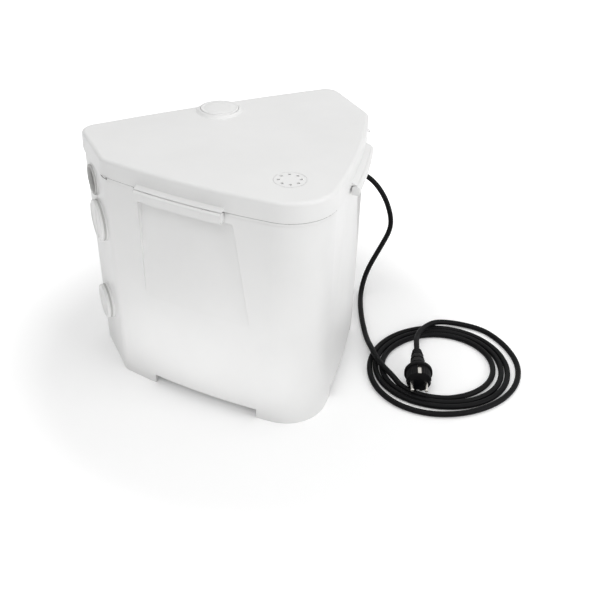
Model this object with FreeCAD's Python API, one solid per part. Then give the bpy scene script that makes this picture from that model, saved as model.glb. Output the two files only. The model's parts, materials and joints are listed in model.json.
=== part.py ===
import FreeCAD, Part
import math
import os

V = FreeCAD.Vector
UP = V(0, 0, 1)
os.makedirs("parts", exist_ok=True)

# Sewage lifting station. X runs along the long back wall, +Y points to that wall, the nose points to -Y.
# The origin is on the floor, under the middle of the object. All sizes are millimetres.

# Plan of the case: a long straight back, two short sides, two bowed fronts and a round nose
half_width = 185.0
back_y = 155.0
nose_y = -155.0
shoulder_y = 48.5
back_corner_radius = 20.0
shoulder_radius = 24.0
front_radius = 913.0
nose_radius = 60.0

# Heights of the case
floor_clearance = 14.0
floor_thickness = 4.5
collar_bottom = 297.0
collar_height = 4.0
lid_height = 25.0
crown_radius = 6800.0
crown_overhang = 30.0

# Tank walls
wall = 4.5
wall_top_inset = 2.0
wall_draft = 3.0
collar_inset = 0.5
upstand_inset = 4.2
upstand_height = 11.0
foot_cut_start = 50.0
foot_cut_end = 206.0
back_cut_half_width = 110.0

# Lid shell
lid_wall = 3.0
rim_draft = 1.2
rim_fillet = 4.5
gasket_width = 2.0
gasket_height = 3.5
seal_rib_width = 3.0

# Side clips, measured along the bowed front from its start at the shoulder
clip_start = 50.0
clip_length = 120.0
clip_gap = 0.5
clip_depth = 10.0
clip_height = 10.2
clip_top_gap = 1.3
clip_shell = 2.4
clip_notch_end = 6.0
hinge_out = 4.2
hinge_drop = 4.6
pin_radius = 1.25
pin_clearance = 0.15
lug_radius = 2.7
lug_width = 8.0
lug_spread = 80.0
lug_clearance = 0.4
lug_arm = 1.3
lug_plate_inset = 1.7
lug_plate_out = 0.2
nib_drop = 5.6
nib_thickness = 2.0
nib_inset = 1.7
nib_clearance = 0.3
nib_length = 90.0

# Finger scoops under the clips
scoop_depth = 7.0
scoop_bottom = 140.0
scoop_side_margin = 3.0
scoop_nose_margin = 9.0
scoop_spread = 20.0
scoop_run_out = 0.3

# Round pipe entries on each side wall
boss_inset = 1.0
boss_depth = 8.0
boss_rim = 1.0
upper_port_to_back = 51.0
upper_port_z = 270.5
upper_port_radius = 20.0
middle_port_to_back = 69.0
middle_port_z = 221.0
middle_port_radius = 27.5
lower_port_to_back = 56.0
lower_port_z = 87.0
lower_port_radius = 24.0
upper_pipe_radius = 16.1
seal_neck = 1.8
seal_flange = 2.5
seal_flange_width = 4.0
seal_lip = 1.5
seal_lip_height = 2.0
seal_clearance = 0.15
port_cap_head = 4.0
port_cap_shell = 2.5
port_cap_reach = 12.0
port_cap_recess = 1.2
port_cap_rim = 4.0
port_cap_grip = 5.0
port_cap_clearance = 0.2

# Discharge opening in the lid and its cap
outlet_to_back = 27.0
outlet_seat_radius = 26.0
outlet_hole_radius = 19.7
outlet_seat_lift = 0.4
outlet_seat_depth = 4.0
outlet_cap_radius = 25.6
outlet_cap_head = 4.2
outlet_cap_skirt = 9.0
outlet_cap_shell = 4.0
outlet_cap_edge = 1.5
outlet_cap_gap = 0.2
o_ring_section = 2.4
o_ring_gap = 0.1

# Air vent in the lid with its filter below
vent_to_nose = 60.0
vent_holes = 8
vent_ring_radius = 13.3
vent_hole_radius = 1.7
vent_groove_radius = 19.5
vent_groove_width = 0.8
vent_groove_depth = 0.6
vent_collar_radius = 23.0
vent_collar_drop = 11.0
filter_radius = 20.0
filter_height = 14.0
filter_wall = 2.0
filter_slots = 6

# Pump and motor, one vertical shaft
pump_y = 8.0
strainer_overhang = 6.0
strainer_height = 16.0
strainer_wall = 3.0
strainer_plate = 2.5
strainer_slot = 7.0
strainer_slots = 18
volute_overhang = 1.0
volute_height = 34.0
volute_floor = 4.0
chamber_radius = 42.0
suction_radius = 18.0
impeller_radius = 38.0
impeller_hub = 9.0
impeller_plate = 3.0
impeller_nose = 2.0
impeller_vanes = 6
impeller_gap = 2.5
vane_height = 11.0
vane_thickness = 2.5
seal_plate_height = 8.0
seal_plate_web = 2.0
shaft_radius = 6.0
shaft_clearance = 0.1
shaft_seal_radius = 12.0
ear_radius = 6.0
ear_reach = 4.0
ear_height = 6.0
motor_radius = 51.0
motor_wall = 3.0
motor_height = 118.0
motor_cap_plate = 4.0
motor_screw_inset = 7.5
wiring_inset = 15.0
wiring_wall = 3.0
wiring_height = 12.0
stator_clearance = 0.3
stator_bore = 27.8
stator_lift = 28.5
stator_height = 52.0
winding_height = 12.0
winding_radius = 42.0
winding_bore = 31.0
rotor_radius = 27.0
bearing_radius = 16.0
bearing_height = 10.0
bearing_land = 4.0
screw_radius = 2.0
screw_head_radius = 3.8
screw_head_height = 3.0
screw_grip = 26.0
motor_screw_grip = 12.0

# Level switch: a ring float that slides on an upright rod
float_x = -92.0
float_y = 24.0
float_rod_radius = 5.0
float_radius = 24.0
float_height = 44.0
float_rounding = 6.0
float_bore_clearance = 0.6
float_low = 36.0
float_travel = 70.0
float_headroom = 10.0
stop_height = 4.0
stop_radius = 10.0
rod_tail = 4.0
switch_length = 62.0
switch_width = 40.0
switch_height = 26.0
switch_rounding = 4.0
switch_arm_width = 20.0
switch_arm_inset = 5.0

# Pressure side: elbow, flap valve, riser and rubber sleeve
pressure_bore = 12.5
pressure_wall = 3.5
nozzle_stub = 12.0
flange_overhang = 7.0
flange_height = 5.0
flange_screws = 4
flange_screw_radius = 1.8
flange_screw_head = 3.2
flange_screw_head_height = 2.4
elbow_radius = 26.0
valve_to_back = 38.0
valve_bottom = 96.0
valve_radius = 25.0
valve_wall = 3.0
valve_seat_height = 10.0
valve_chamber = 34.0
valve_top_plate = 6.0
valve_outlet_radius = 11.6
flap_radius = 16.5
flap_thickness = 3.0
flap_arm_width = 8.0
flap_pin_radius = 1.5
flap_pin_clearance = 0.15
flap_pin_length = 28.0
flap_eye_radius = 2.8
flap_hinge_back = 18.5
flap_hinge_up = 4.0
riser_to_back = 29.5
riser_radius = 14.0
riser_wall = 2.4
riser_fit = 0.1
socket_depth = 14.0
socket_wall = 3.4
waste_pipe_radius = 16.0
waste_pipe_depth = 42.0
sleeve_grip = 22.0
sleeve_headroom = 1.0
sleeve_wall = 3.4
sleeve_clearance = 0.1
clamp_width = 9.0
clamp_thickness = 1.0
clamp_low = 6.0
clamp_high = 11.0
clamp_lug = 6.0

# Mains cord and its gland on the right side wall
cord_diameter = 8.0
cord_floor_gap = 0.05
gland_to_back = 29.0
gland_z = 193.0
gland_hole_radius = 8.0
gland_neck_clearance = 0.1
gland_flange_radius = 13.0
gland_flange = 3.0
gland_neck_length = 16.0
gland_nut_size = 24.0
gland_nut = 6.0
relief_length = 20.0
relief_root_radius = 7.5
relief_tip_radius = 5.1
motor_lead_angle = 40.0
motor_lead_boss = 7.0
motor_lead_boss_length = 9.0
motor_lead_run = 43.0

# Coil of the cord on the floor: a flat spiral that winds outwards
coil_x = 229.0
coil_y = -131.0
coil_first_radius = 70.1
coil_pitch = 8.7
coil_left_bulge = 14.3
coil_last_spread = 11.6
coil_start_inset = 1.0
coil_start_turn = 0.25
coil_end_turn = 3.5

# Mains plug, lying on its collar inside the coil
plug_x = 205.6
plug_y = -95.0
plug_heading = -119.5
plug_collar_radius = 19.5
plug_boot_length = 24.0
plug_boot_tip = 5.3
plug_boot_root = 7.4
plug_shoulder = 5.0
plug_grip_length = 30.0
plug_grip_radius = 11.5
plug_collar_thickness = 6.0
plug_front_length = 17.0
plug_front_radius = 17.2
plug_groove_width = 5.5
plug_groove_depth = 3.1
plug_pin_length = 19.0
plug_pin_radius = 2.4
plug_pin_spacing = 19.0
earth_clip_width = 5.0
earth_clip_thickness = 1.0

# Heights and places that follow from the sizes above
lid_bottom = collar_bottom + collar_height
lid_crown = lid_bottom + lid_height
boss_outer = half_width - boss_inset
boss_inner = boss_outer - boss_depth
upper_port_y = back_y - upper_port_to_back
middle_port_y = back_y - middle_port_to_back
lower_port_y = back_y - lower_port_to_back
gland_y = back_y - gland_to_back
outlet_y = back_y - outlet_to_back
outlet_seat_top = lid_crown + outlet_seat_lift
vent_y = nose_y + vent_to_nose
valve_y = back_y - valve_to_back
riser_y = back_y - riser_to_back
sleeve_top = lid_bottom - sleeve_headroom
riser_top = sleeve_top - waste_pipe_depth
sleeve_bottom = riser_top - sleeve_grip
volute_radius = motor_radius + volute_overhang
strainer_radius = volute_radius + strainer_overhang
ear_circle = motor_radius + ear_reach
motor_screw_circle = motor_radius - motor_screw_inset
wiring_radius = motor_radius - wiring_inset
nozzle_reach = pump_y + volute_radius + nozzle_stub

pieces = {}


def keep(name, shape):
    """Stores one finished piece under its node name."""
    pieces[name] = shape


def mirrored(shape):
    return shape.mirror(V(0, 0, 0), V(1, 0, 0))


def keep_pair(name, right_shape):
    """Stores a right-hand piece and its left-hand twin."""
    keep(name + "_right", right_shape)
    keep(name + "_left", mirrored(right_shape))


def cylinder(radius, height, base=V(0, 0, 0), axis=UP):
    return Part.makeCylinder(radius, height, base, axis)


def tube(outer, inner, height, base=V(0, 0, 0), axis=UP):
    return cylinder(outer, height, base, axis).cut(cylinder(inner, height, base, axis))


def box(x0, x1, y0, y1, z0, z1):
    return Part.makeBox(x1 - x0, y1 - y0, z1 - z0, V(x0, y0, z0))


def revolve_profile(points, base, axis):
    """Turns a closed profile of (radius, height) points about an axis."""
    wire = Part.makePolygon([V(r, 0, h) for r, h in points] + [V(points[0][0], 0, points[0][1])])
    solid = Part.Face(wire).revolve(V(0, 0, 0), UP, 360)
    solid.Placement = FreeCAD.Placement(base, FreeCAD.Rotation(UP, axis))
    return solid


def polar(radius, angle):
    return V(radius * math.cos(angle), radius * math.sin(angle), 0)


# Centres of the plan's arcs, all concentric for every inset

nose_centre = V(0, nose_y + nose_radius, 0)


def front_arc_centre():
    """Centre of the right bowed front, which meets the side at the shoulder and is tangent to the nose."""
    shoulder = V(half_width, shoulder_y, 0)
    gap = nose_centre - shoulder
    reach = gap.Length
    near = front_radius
    far = front_radius - nose_radius
    along = (near ** 2 - far ** 2 + reach ** 2) / (2 * reach)
    across = math.sqrt(near ** 2 - along ** 2)
    side = V(-gap.y, gap.x, 0) / reach
    foot = shoulder + gap * (along / reach)
    first, second = foot + side * across, foot - side * across
    return first if first.x < second.x else second


front_centre = front_arc_centre()
shoulder_x = half_width - shoulder_radius
shoulder_reach = front_radius - shoulder_radius
shoulder_centre = V(
    shoulder_x,
    front_centre.y + math.copysign(
        math.sqrt(shoulder_reach ** 2 - (shoulder_x - front_centre.x) ** 2),
        shoulder_y - front_centre.y),
    0)
corner_centre = V(half_width - back_corner_radius, back_y - back_corner_radius, 0)
front_start_angle = math.atan2(shoulder_centre.y - front_centre.y, shoulder_centre.x - front_centre.x)
front_end_angle = math.atan2(nose_centre.y - front_centre.y, nose_centre.x - front_centre.x)


def arc(centre, radius, start, end):
    middle = (start + end) / 2
    return Part.Arc(centre + polar(radius, start), centre + polar(radius, middle),
                    centre + polar(radius, end)).toShape()


def outline(inset, z):
    """The closed plan curve, moved inwards by inset, at height z."""
    right = [
        arc(corner_centre, back_corner_radius - inset, math.pi / 2, 0),
        Part.LineSegment(V(half_width - inset, corner_centre.y, 0),
                         V(half_width - inset, shoulder_centre.y, 0)).toShape(),
        arc(shoulder_centre, shoulder_radius - inset, 0, front_start_angle),
        arc(front_centre, front_radius - inset, front_start_angle, front_end_angle),
    ]
    left = [mirrored(edge) for edge in reversed(right)]
    nose = arc(nose_centre, nose_radius - inset, front_end_angle, -math.pi - front_end_angle)
    back = Part.LineSegment(V(-corner_centre.x, back_y - inset, 0),
                            V(corner_centre.x, back_y - inset, 0)).toShape()
    wire = Part.Wire(Part.__sortEdges__(right + [nose] + left + [back]))
    wire.translate(V(0, 0, z))
    return wire


def slab(inset, z0, z1):
    return Part.Face(outline(inset, z0)).extrude(V(0, 0, z1 - z0))


def ring(outer_inset, inner_inset, z0, z1):
    return slab(outer_inset, z0, z1).cut(slab(inner_inset, z0, z1))


def taper(inset0, z0, inset1, z1):
    """A case shape whose wall leans evenly between two insets."""
    return Part.makeLoft([outline(inset0, z0), outline(inset1, z1)], True, True)


def wall_inset(z):
    """How far the tank's outer wall lies inside the lid's edge at height z."""
    return wall_top_inset + wall_draft * (collar_bottom - z) / collar_bottom


def on_front(shape, along):
    """Places a shape on the right front: its X follows the face, Y points out, origin at that arc length."""
    angle = front_start_angle - along / front_radius
    origin = front_centre + polar(front_radius, angle)
    turn = FreeCAD.Rotation(UP, math.degrees(angle) - 90)
    placed = shape.copy()
    placed.Placement = FreeCAD.Placement(origin, turn).multiply(placed.Placement)
    return placed


clip_middle = clip_start + clip_length / 2
clip_top = lid_bottom - clip_top_gap
clip_bottom = clip_top - clip_height
hinge_z = clip_top - hinge_drop
nib_bottom = clip_bottom - nib_drop
scoop_top = nib_bottom + nib_thickness + nib_clearance


def clip_zone(left, right, y0, y1, z0, z1):
    """A box in front of the right face, measured from the clip's middle."""
    return on_front(box(left, right, y0, y1, z0, z1), clip_middle)


# Tank

def scoop(skin):
    """The finger scoop in the right front; skin moves it inwards to keep the wall's thickness."""
    left = -clip_length / 2 - scoop_side_margin - skin
    right = clip_length / 2 + scoop_nose_margin + skin
    top = scoop_top + skin
    corners = [V(left, 0, top), V(right, 0, top), V(right + scoop_spread, 0, scoop_bottom),
               V(left, 0, scoop_bottom)]
    prism = Part.Face(Part.makePolygon(corners + corners[:1])).extrude(V(0, 80, 0))
    prism.translate(V(0, -50, 0))
    kept = taper(wall_inset(scoop_bottom) + skin - scoop_run_out, scoop_bottom,
                 wall_inset(scoop_top) + scoop_depth + skin, top)
    return on_front(prism, clip_middle).cut(kept)


def across_x(y, z, x0, x1, radius):
    return cylinder(radius, x1 - x0, V(x0, y, z), V(1, 0, 0))


ports = [
    ("upper", upper_port_y, upper_port_z, upper_port_radius),
    ("middle", middle_port_y, middle_port_z, middle_port_radius),
    ("lower", lower_port_y, lower_port_z, lower_port_radius),
]


def port_bore(name, radius):
    """Radius of the rubber seal's bore for a port whose flange has the given radius."""
    return upper_pipe_radius if name == "upper" else radius - seal_flange_width - seal_neck


def port_hole(name, radius):
    return port_bore(name, radius) + seal_neck + seal_clearance


def make_tank():
    floor_top = floor_clearance + floor_thickness
    outer = taper(wall_inset(0), 0, wall_inset(collar_bottom), collar_bottom)
    collar = slab(collar_inset, collar_bottom, lid_bottom)
    upstand = slab(upstand_inset, lid_bottom, lid_bottom + upstand_height)
    inner_top = wall_inset(collar_bottom) + wall
    cavity = taper(wall_inset(floor_top) + wall, floor_top, inner_top, collar_bottom)
    mouth = slab(inner_top, collar_bottom, lid_bottom + upstand_height)
    under = taper(wall_inset(0) + wall, 0, wall_inset(floor_clearance) + wall, floor_clearance)
    scoops = [scoop(0), mirrored(scoop(0))]
    kept_walls = [scoop(wall), mirrored(scoop(wall))]
    foot_middle = (foot_cut_start + foot_cut_end) / 2
    foot_half = (foot_cut_end - foot_cut_start) / 2
    foot_cut = on_front(box(-foot_half, foot_half, -20, 6, 0, floor_clearance), foot_middle)
    back_cut = box(-back_cut_half_width, back_cut_half_width, back_y - 20, back_y, 0, floor_clearance)
    half = clip_length / 2 + clip_notch_end
    notch = clip_zone(-half, half, -12, 6, collar_bottom, lid_bottom)
    notch = notch.cut(slab(wall_inset(collar_bottom), collar_bottom, lid_bottom))
    body = outer.cut(scoops).fuse([collar, upstand])
    body = body.cut(cavity.cut(kept_walls).fuse(mouth))
    body = body.cut([under, foot_cut, mirrored(foot_cut), back_cut, notch, mirrored(notch)])
    openings = [(y, z, radius + boss_rim, port_hole(name, radius)) for name, y, z, radius in ports]
    for side in (1, -1):
        entries = openings + ([(gland_y, gland_z, gland_flange_radius + boss_rim, gland_hole_radius)]
                              if side == 1 else [])
        for y, z, boss, hole in entries:
            x0, x1 = sorted((side * boss_inner, side * boss_outer))
            body = body.fuse(across_x(y, z, x0, x1, boss))
            body = body.cut(across_x(y, z, x0 - 1, x1 + 1, hole))
    return body.removeSplitter()


# Lid

def crown_block(drop):
    """Everything under the lid's slightly arched top, lowered by drop."""
    reach = half_width + crown_overhang
    depth = back_y - nose_y + 2 * crown_overhang
    bottom = collar_bottom - crown_overhang
    top = lid_crown - drop
    fall = crown_radius - math.sqrt(crown_radius ** 2 - reach ** 2)
    left, right = V(-reach, 0, top - fall), V(reach, 0, top - fall)
    edges = [Part.Arc(left, V(0, 0, top), right).toShape()]
    edges += Part.makePolygon([right, V(reach, 0, bottom), V(-reach, 0, bottom), left]).Edges
    block = Part.Face(Part.Wire(edges)).extrude(V(0, depth, 0))
    block.translate(V(0, nose_y - crown_overhang, 0))
    return block


def hinge_line(length, radius):
    """A rod on the right clip's hinge axis."""
    rod = cylinder(radius, length, V(-length / 2, hinge_out, hinge_z), V(1, 0, 0))
    return on_front(rod, clip_middle)


def hinge_lug(x):
    """One hinge lug that hangs from the lid's edge behind the clip."""
    left, right = x - lug_width / 2, x + lug_width / 2
    plate = ring(-lug_plate_out, lug_plate_inset, hinge_z - lug_radius, lid_bottom + 1)
    plate = plate.common(clip_zone(left, right, -12, 6, hinge_z - lug_radius, lid_bottom + 1))
    arm = clip_zone(left, right, -2, hinge_out, hinge_z - lug_arm, hinge_z + lug_arm)
    eye = cylinder(lug_radius, lug_width, V(left, hinge_out, hinge_z), V(1, 0, 0))
    behind = slab(lug_plate_inset, hinge_z - lug_radius, lid_bottom)
    return plate.fuse([arm, on_front(eye, clip_middle)]).cut(behind)


def make_lid():
    top = lid_crown + 4
    shell = taper(0, lid_bottom, rim_draft, top).common(crown_block(0))
    crown_edges = [edge for edge in shell.Edges if edge.BoundBox.ZMin > lid_bottom + 10]
    shell = shell.makeFillet(rim_fillet, crown_edges)
    hollow = taper(lid_wall, lid_bottom, rim_draft + lid_wall, top).common(crown_block(lid_wall))
    shell = shell.cut(hollow)
    rib_bottom = lid_bottom + upstand_height + gasket_height
    rib = ring(upstand_inset, upstand_inset + seal_rib_width, rib_bottom, top).common(crown_block(lid_wall / 2))
    seat_bottom = lid_crown - lid_wall - outlet_seat_depth
    seat = cylinder(outlet_seat_radius, outlet_seat_top - seat_bottom, V(0, outlet_y, seat_bottom))
    vent_collar = tube(vent_collar_radius, filter_radius, vent_collar_drop + lid_wall / 3,
                       V(0, vent_y, lid_crown - lid_wall - vent_collar_drop))
    shell = shell.fuse([rib, seat, vent_collar])
    shell = shell.cut(cylinder(outlet_hole_radius, 40, V(0, outlet_y, rib_bottom)))
    for index in range(vent_holes):
        spot = polar(vent_ring_radius, 2 * math.pi * (index + 0.5) / vent_holes)
        shell = shell.cut(cylinder(vent_hole_radius, 20, V(spot.x, vent_y + spot.y, lid_crown - 15)))
    groove = tube(vent_groove_radius + vent_groove_width / 2, vent_groove_radius - vent_groove_width / 2,
                  5, V(0, vent_y, lid_crown - vent_groove_depth))
    shell = shell.cut(groove)
    right_lugs = [hinge_lug(-lug_spread / 2), hinge_lug(lug_spread / 2)]
    shell = shell.fuse(right_lugs + [mirrored(lug) for lug in right_lugs])
    bore = hinge_line(clip_length, pin_radius + 0.05)
    return shell.cut([bore, mirrored(bore)]).removeSplitter()


def make_gasket():
    inset = upstand_inset + 0.2
    z0 = lid_bottom + upstand_height
    return ring(inset, inset + gasket_width, z0, z0 + gasket_height)


def make_clip():
    """The right-hand clip: a bowed grip strip with a hook along its lower edge."""
    half = clip_length / 2
    strip = ring(-clip_depth, -clip_gap, clip_bottom, clip_top)
    strip = strip.common(clip_zone(-half, half, -12, 14, clip_bottom, clip_top))
    grip_half = lug_spread / 2 - lug_width
    grip = ring(clip_shell - clip_depth, -clip_gap - clip_shell, clip_bottom, clip_top - clip_shell)
    grip = grip.common(clip_zone(-grip_half, grip_half, -12, 14, clip_bottom, clip_top - clip_shell))
    skirt = ring(-clip_gap - clip_shell, -clip_gap, nib_bottom, clip_bottom)
    nib = ring(-clip_gap - clip_shell, nib_inset, nib_bottom, nib_bottom + nib_thickness)
    hook_zone = clip_zone(-nib_length / 2, nib_length / 2, -12, 14, nib_bottom, clip_bottom)
    hook = skirt.fuse(nib).common(hook_zone)
    clip = strip.cut(grip).fuse(hook)
    for x in (-lug_spread / 2, lug_spread / 2):
        left = x - lug_width / 2 - lug_clearance
        right = x + lug_width / 2 + lug_clearance
        pocket = cylinder(lug_radius + lug_clearance, right - left, V(left, hinge_out, hinge_z), V(1, 0, 0))
        slot = box(left, right, -4, hinge_out - 0.2, hinge_z - lug_radius - lug_clearance, clip_top + 1)
        clip = clip.cut([on_front(pocket, clip_middle), on_front(slot, clip_middle)])
    return clip.cut(hinge_line(clip_length + 4, pin_radius + pin_clearance)).removeSplitter()


def make_outlet_cap():
    z0 = outlet_seat_top
    outer = outlet_hole_radius - outlet_cap_gap
    inner = outer - outlet_cap_shell
    edge = outlet_cap_edge
    head = cylinder(outlet_cap_radius, outlet_cap_head, V(0, outlet_y, z0))
    rim = [item for item in head.Edges if abs(item.BoundBox.ZMin - z0 - outlet_cap_head) < 0.01
           and abs(item.BoundBox.ZMax - z0 - outlet_cap_head) < 0.01]
    head = head.makeFillet(edge, rim)
    skirt = tube(outer, inner, outlet_cap_skirt, V(0, outlet_y, z0 - outlet_cap_skirt))
    groove = tube(outer + 1, outer - o_ring_section + 0.2, o_ring_section,
                  V(0, outlet_y, z0 - outlet_cap_skirt / 2 - o_ring_section / 2))
    ring_major = outlet_hole_radius - o_ring_gap - o_ring_section / 2
    seal = Part.makeTorus(ring_major, o_ring_section / 2, V(0, outlet_y, z0 - outlet_cap_skirt / 2))
    return head.fuse(skirt.cut(groove)), seal.common(skirt.cut(skirt).fuse(
        tube(outlet_hole_radius, outer - o_ring_section + 0.2, o_ring_section,
             V(0, outlet_y, z0 - outlet_cap_skirt / 2 - o_ring_section / 2))))


def make_filter():
    """The cup that hangs in the lid's vent collar, and the carbon pad inside it."""
    top = lid_crown - lid_wall - 0.2
    radius = filter_radius - 0.1
    cup = cylinder(radius, filter_height, V(0, vent_y, top - filter_height))
    room = cylinder(radius - filter_wall, filter_height, V(0, vent_y, top - filter_height + filter_wall))
    cup = cup.cut(room)
    for index in range(filter_slots):
        slot = box(4, radius - 2 * filter_wall, -1.2, 1.2, top - filter_height - 1, top - filter_height + 5)
        slot.rotate(V(0, 0, 0), UP, 360 * index / filter_slots)
        slot.translate(V(0, vent_y, 0))
        cup = cup.cut(slot)
    pad_height = filter_height - filter_wall - 1
    pad = cylinder(radius - filter_wall - 0.1, pad_height, V(0, vent_y, top - filter_height + filter_wall))
    return cup, pad


# Pipe entries and the cord gland in the side walls

def make_port_seal(name, y, z, radius):
    bore = port_bore(name, radius)
    neck = bore + seal_neck
    lip = neck + seal_lip
    face = boss_inner - seal_clearance
    profile = [(bore, face - seal_lip_height), (lip, face - seal_lip_height), (lip, face), (neck, face),
               (neck, boss_outer), (radius, boss_outer), (radius, boss_outer + seal_flange),
               (bore, boss_outer + seal_flange)]
    return revolve_profile(profile, V(0, y, z), V(1, 0, 0))


def make_port_cap(name, y, z, radius):
    seat = boss_outer + seal_flange
    outer = port_bore(name, radius) - port_cap_clearance
    head = across_x(y, z, seat, seat + port_cap_head, radius)
    spigot = across_x(y, z, seat - port_cap_reach, seat, outer)
    hollow = across_x(y, z, seat - port_cap_reach, seat, outer - port_cap_shell)
    face = seat + port_cap_head
    recess = across_x(y, z, face - port_cap_recess, face, radius - port_cap_rim)
    grip = box(face - port_cap_recess, face, y - port_cap_grip / 2, y + port_cap_grip / 2,
               z - radius, z + radius)
    return head.fuse(spigot.cut(hollow)).cut(recess.cut(grip))


def hexagon(across_flats, x0, x1, y, z):
    radius = across_flats / math.sqrt(3)
    corners = [V(x0, y + radius * math.cos(math.pi * k / 3), z + radius * math.sin(math.pi * k / 3))
               for k in range(6)]
    return Part.Face(Part.makePolygon(corners + corners[:1])).extrude(V(x1 - x0, 0, 0))


def make_gland():
    neck_end = boss_outer - gland_neck_length
    neck_radius = gland_hole_radius - gland_neck_clearance
    flange = across_x(gland_y, gland_z, boss_outer, boss_outer + gland_flange, gland_flange_radius)
    neck = across_x(gland_y, gland_z, neck_end, boss_outer, neck_radius)
    nut = hexagon(gland_nut_size, boss_inner - gland_nut, boss_inner, gland_y, gland_z)
    nut = nut.cut(across_x(gland_y, gland_z, neck_end, boss_outer, neck_radius))
    return flange.fuse(neck), nut


# Pump and motor

floor_top = floor_clearance + floor_thickness
strainer_top = floor_top + strainer_height
chamber_bottom = strainer_top + volute_floor
volute_top = strainer_top + volute_height
seal_plate_top = volute_top + seal_plate_height
motor_top = seal_plate_top + motor_height
stator_bottom = seal_plate_top + stator_lift
stator_top = stator_bottom + stator_height
upper_bearing_bottom = motor_top - bearing_height - 2
nozzle_z = volute_top - pressure_bore - pressure_wall


def on_shaft(radius, z0, z1):
    return cylinder(radius, z1 - z0, V(0, pump_y, z0))


def sleeve_on_shaft(outer, inner, z0, z1):
    return on_shaft(outer, z0, z1).cut(on_shaft(inner, z0, z1))


def ear_spot(index, circle):
    spot = polar(circle, math.pi / 4 + index * math.pi / 2)
    return V(spot.x, pump_y + spot.y, 0)


def motor_screw_spot(index):
    return V(0, pump_y, 0) + polar(motor_screw_circle, index * math.pi / 2)


def ears(z0, z1):
    """Four screw ears with their holes left solid."""
    return [cylinder(ear_radius, z1 - z0, ear_spot(index, ear_circle) + V(0, 0, z0)) for index in range(4)]


def ear_holes(z0, z1):
    return [cylinder(screw_radius, z1 - z0, ear_spot(index, ear_circle) + V(0, 0, z0)) for index in range(4)]


pump_screw_top = seal_plate_top + ear_height
pump_screw_bottom = pump_screw_top - screw_grip


def make_strainer():
    shell = sleeve_on_shaft(strainer_radius, strainer_radius - strainer_wall, floor_top, strainer_top)
    plate = sleeve_on_shaft(strainer_radius - strainer_wall / 2, suction_radius,
                            strainer_top - strainer_plate, strainer_top)
    strainer = shell.fuse(plate)
    for index in range(strainer_slots):
        slot = box(strainer_radius - 2 * strainer_wall, strainer_radius + 2, -strainer_slot / 2,
                   strainer_slot / 2, floor_top + strainer_plate, strainer_top - 2 * strainer_plate)
        slot.rotate(V(0, 0, 0), UP, 360 * (index + 0.5) / strainer_slots)
        slot.translate(V(0, pump_y, 0))
        strainer = strainer.cut(slot)
    return strainer


def flange_spots(circle):
    return [polar(circle, math.pi / 4 + 2 * math.pi * index / flange_screws) for index in range(flange_screws)]


pipe_outer = pressure_bore + pressure_wall
flange_radius = pipe_outer + flange_overhang
flange_circle = pipe_outer + flange_overhang / 2


def upright_flange(z0, z1):
    """A flange round the upright end of the elbow, with its screw holes."""
    plate = cylinder(flange_radius, z1 - z0, V(0, valve_y, z0))
    holes = [cylinder(flange_screw_radius, z1 - z0, V(spot.x, valve_y + spot.y, z0))
             for spot in flange_spots(flange_circle)]
    return plate.cut(holes)


def level_flange(y0, y1):
    """A flange round the pump's outlet, with its screw holes."""
    plate = cylinder(flange_radius, y1 - y0, V(0, y0, nozzle_z), V(0, 1, 0))
    holes = [cylinder(flange_screw_radius, y1 - y0, V(spot.x, y0, nozzle_z + spot.y), V(0, 1, 0))
             for spot in flange_spots(flange_circle)]
    return plate.cut(holes)


def make_volute():
    body = on_shaft(volute_radius, strainer_top, volute_top)
    nozzle = cylinder(pipe_outer, nozzle_reach - pump_y, V(0, pump_y, nozzle_z), V(0, 1, 0))
    body = body.fuse([nozzle, level_flange(nozzle_reach - flange_height, nozzle_reach)] +
                     ears(strainer_top, volute_top))
    chamber = on_shaft(chamber_radius, chamber_bottom, volute_top)
    suction = on_shaft(suction_radius, strainer_top, chamber_bottom)
    bore = cylinder(pressure_bore, nozzle_reach - pump_y, V(0, pump_y, nozzle_z), V(0, 1, 0))
    return body.cut([chamber, suction, bore] + ear_holes(pump_screw_bottom, volute_top))


def make_impeller():
    top = volute_top - impeller_gap
    plate_bottom = top - impeller_plate
    bottom = plate_bottom - vane_height
    body = on_shaft(impeller_radius, plate_bottom, top).fuse(on_shaft(impeller_hub, bottom, plate_bottom))
    for index in range(impeller_vanes):
        vane = box(impeller_hub - 2, impeller_radius - 1, -vane_thickness / 2, vane_thickness / 2,
                   bottom, plate_bottom)
        vane.rotate(V(0, 0, 0), UP, 360 * index / impeller_vanes)
        vane.translate(V(0, pump_y, 0))
        body = body.fuse(vane)
    return body.cut(on_shaft(shaft_radius, bottom + impeller_nose, top))


def make_seal_plate():
    plate = on_shaft(volute_radius, volute_top, seal_plate_top)
    collar = on_shaft(bearing_radius + bearing_land, seal_plate_top, seal_plate_top + bearing_height)
    plate = plate.fuse([collar] + ears(volute_top, seal_plate_top))
    bores = [on_shaft(shaft_radius + shaft_clearance, volute_top, seal_plate_top),
             on_shaft(shaft_seal_radius, volute_top + seal_plate_web, seal_plate_top),
             on_shaft(bearing_radius, seal_plate_top, seal_plate_top + bearing_height)]
    return plate.cut(bores + ear_holes(volute_top, seal_plate_top))


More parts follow.
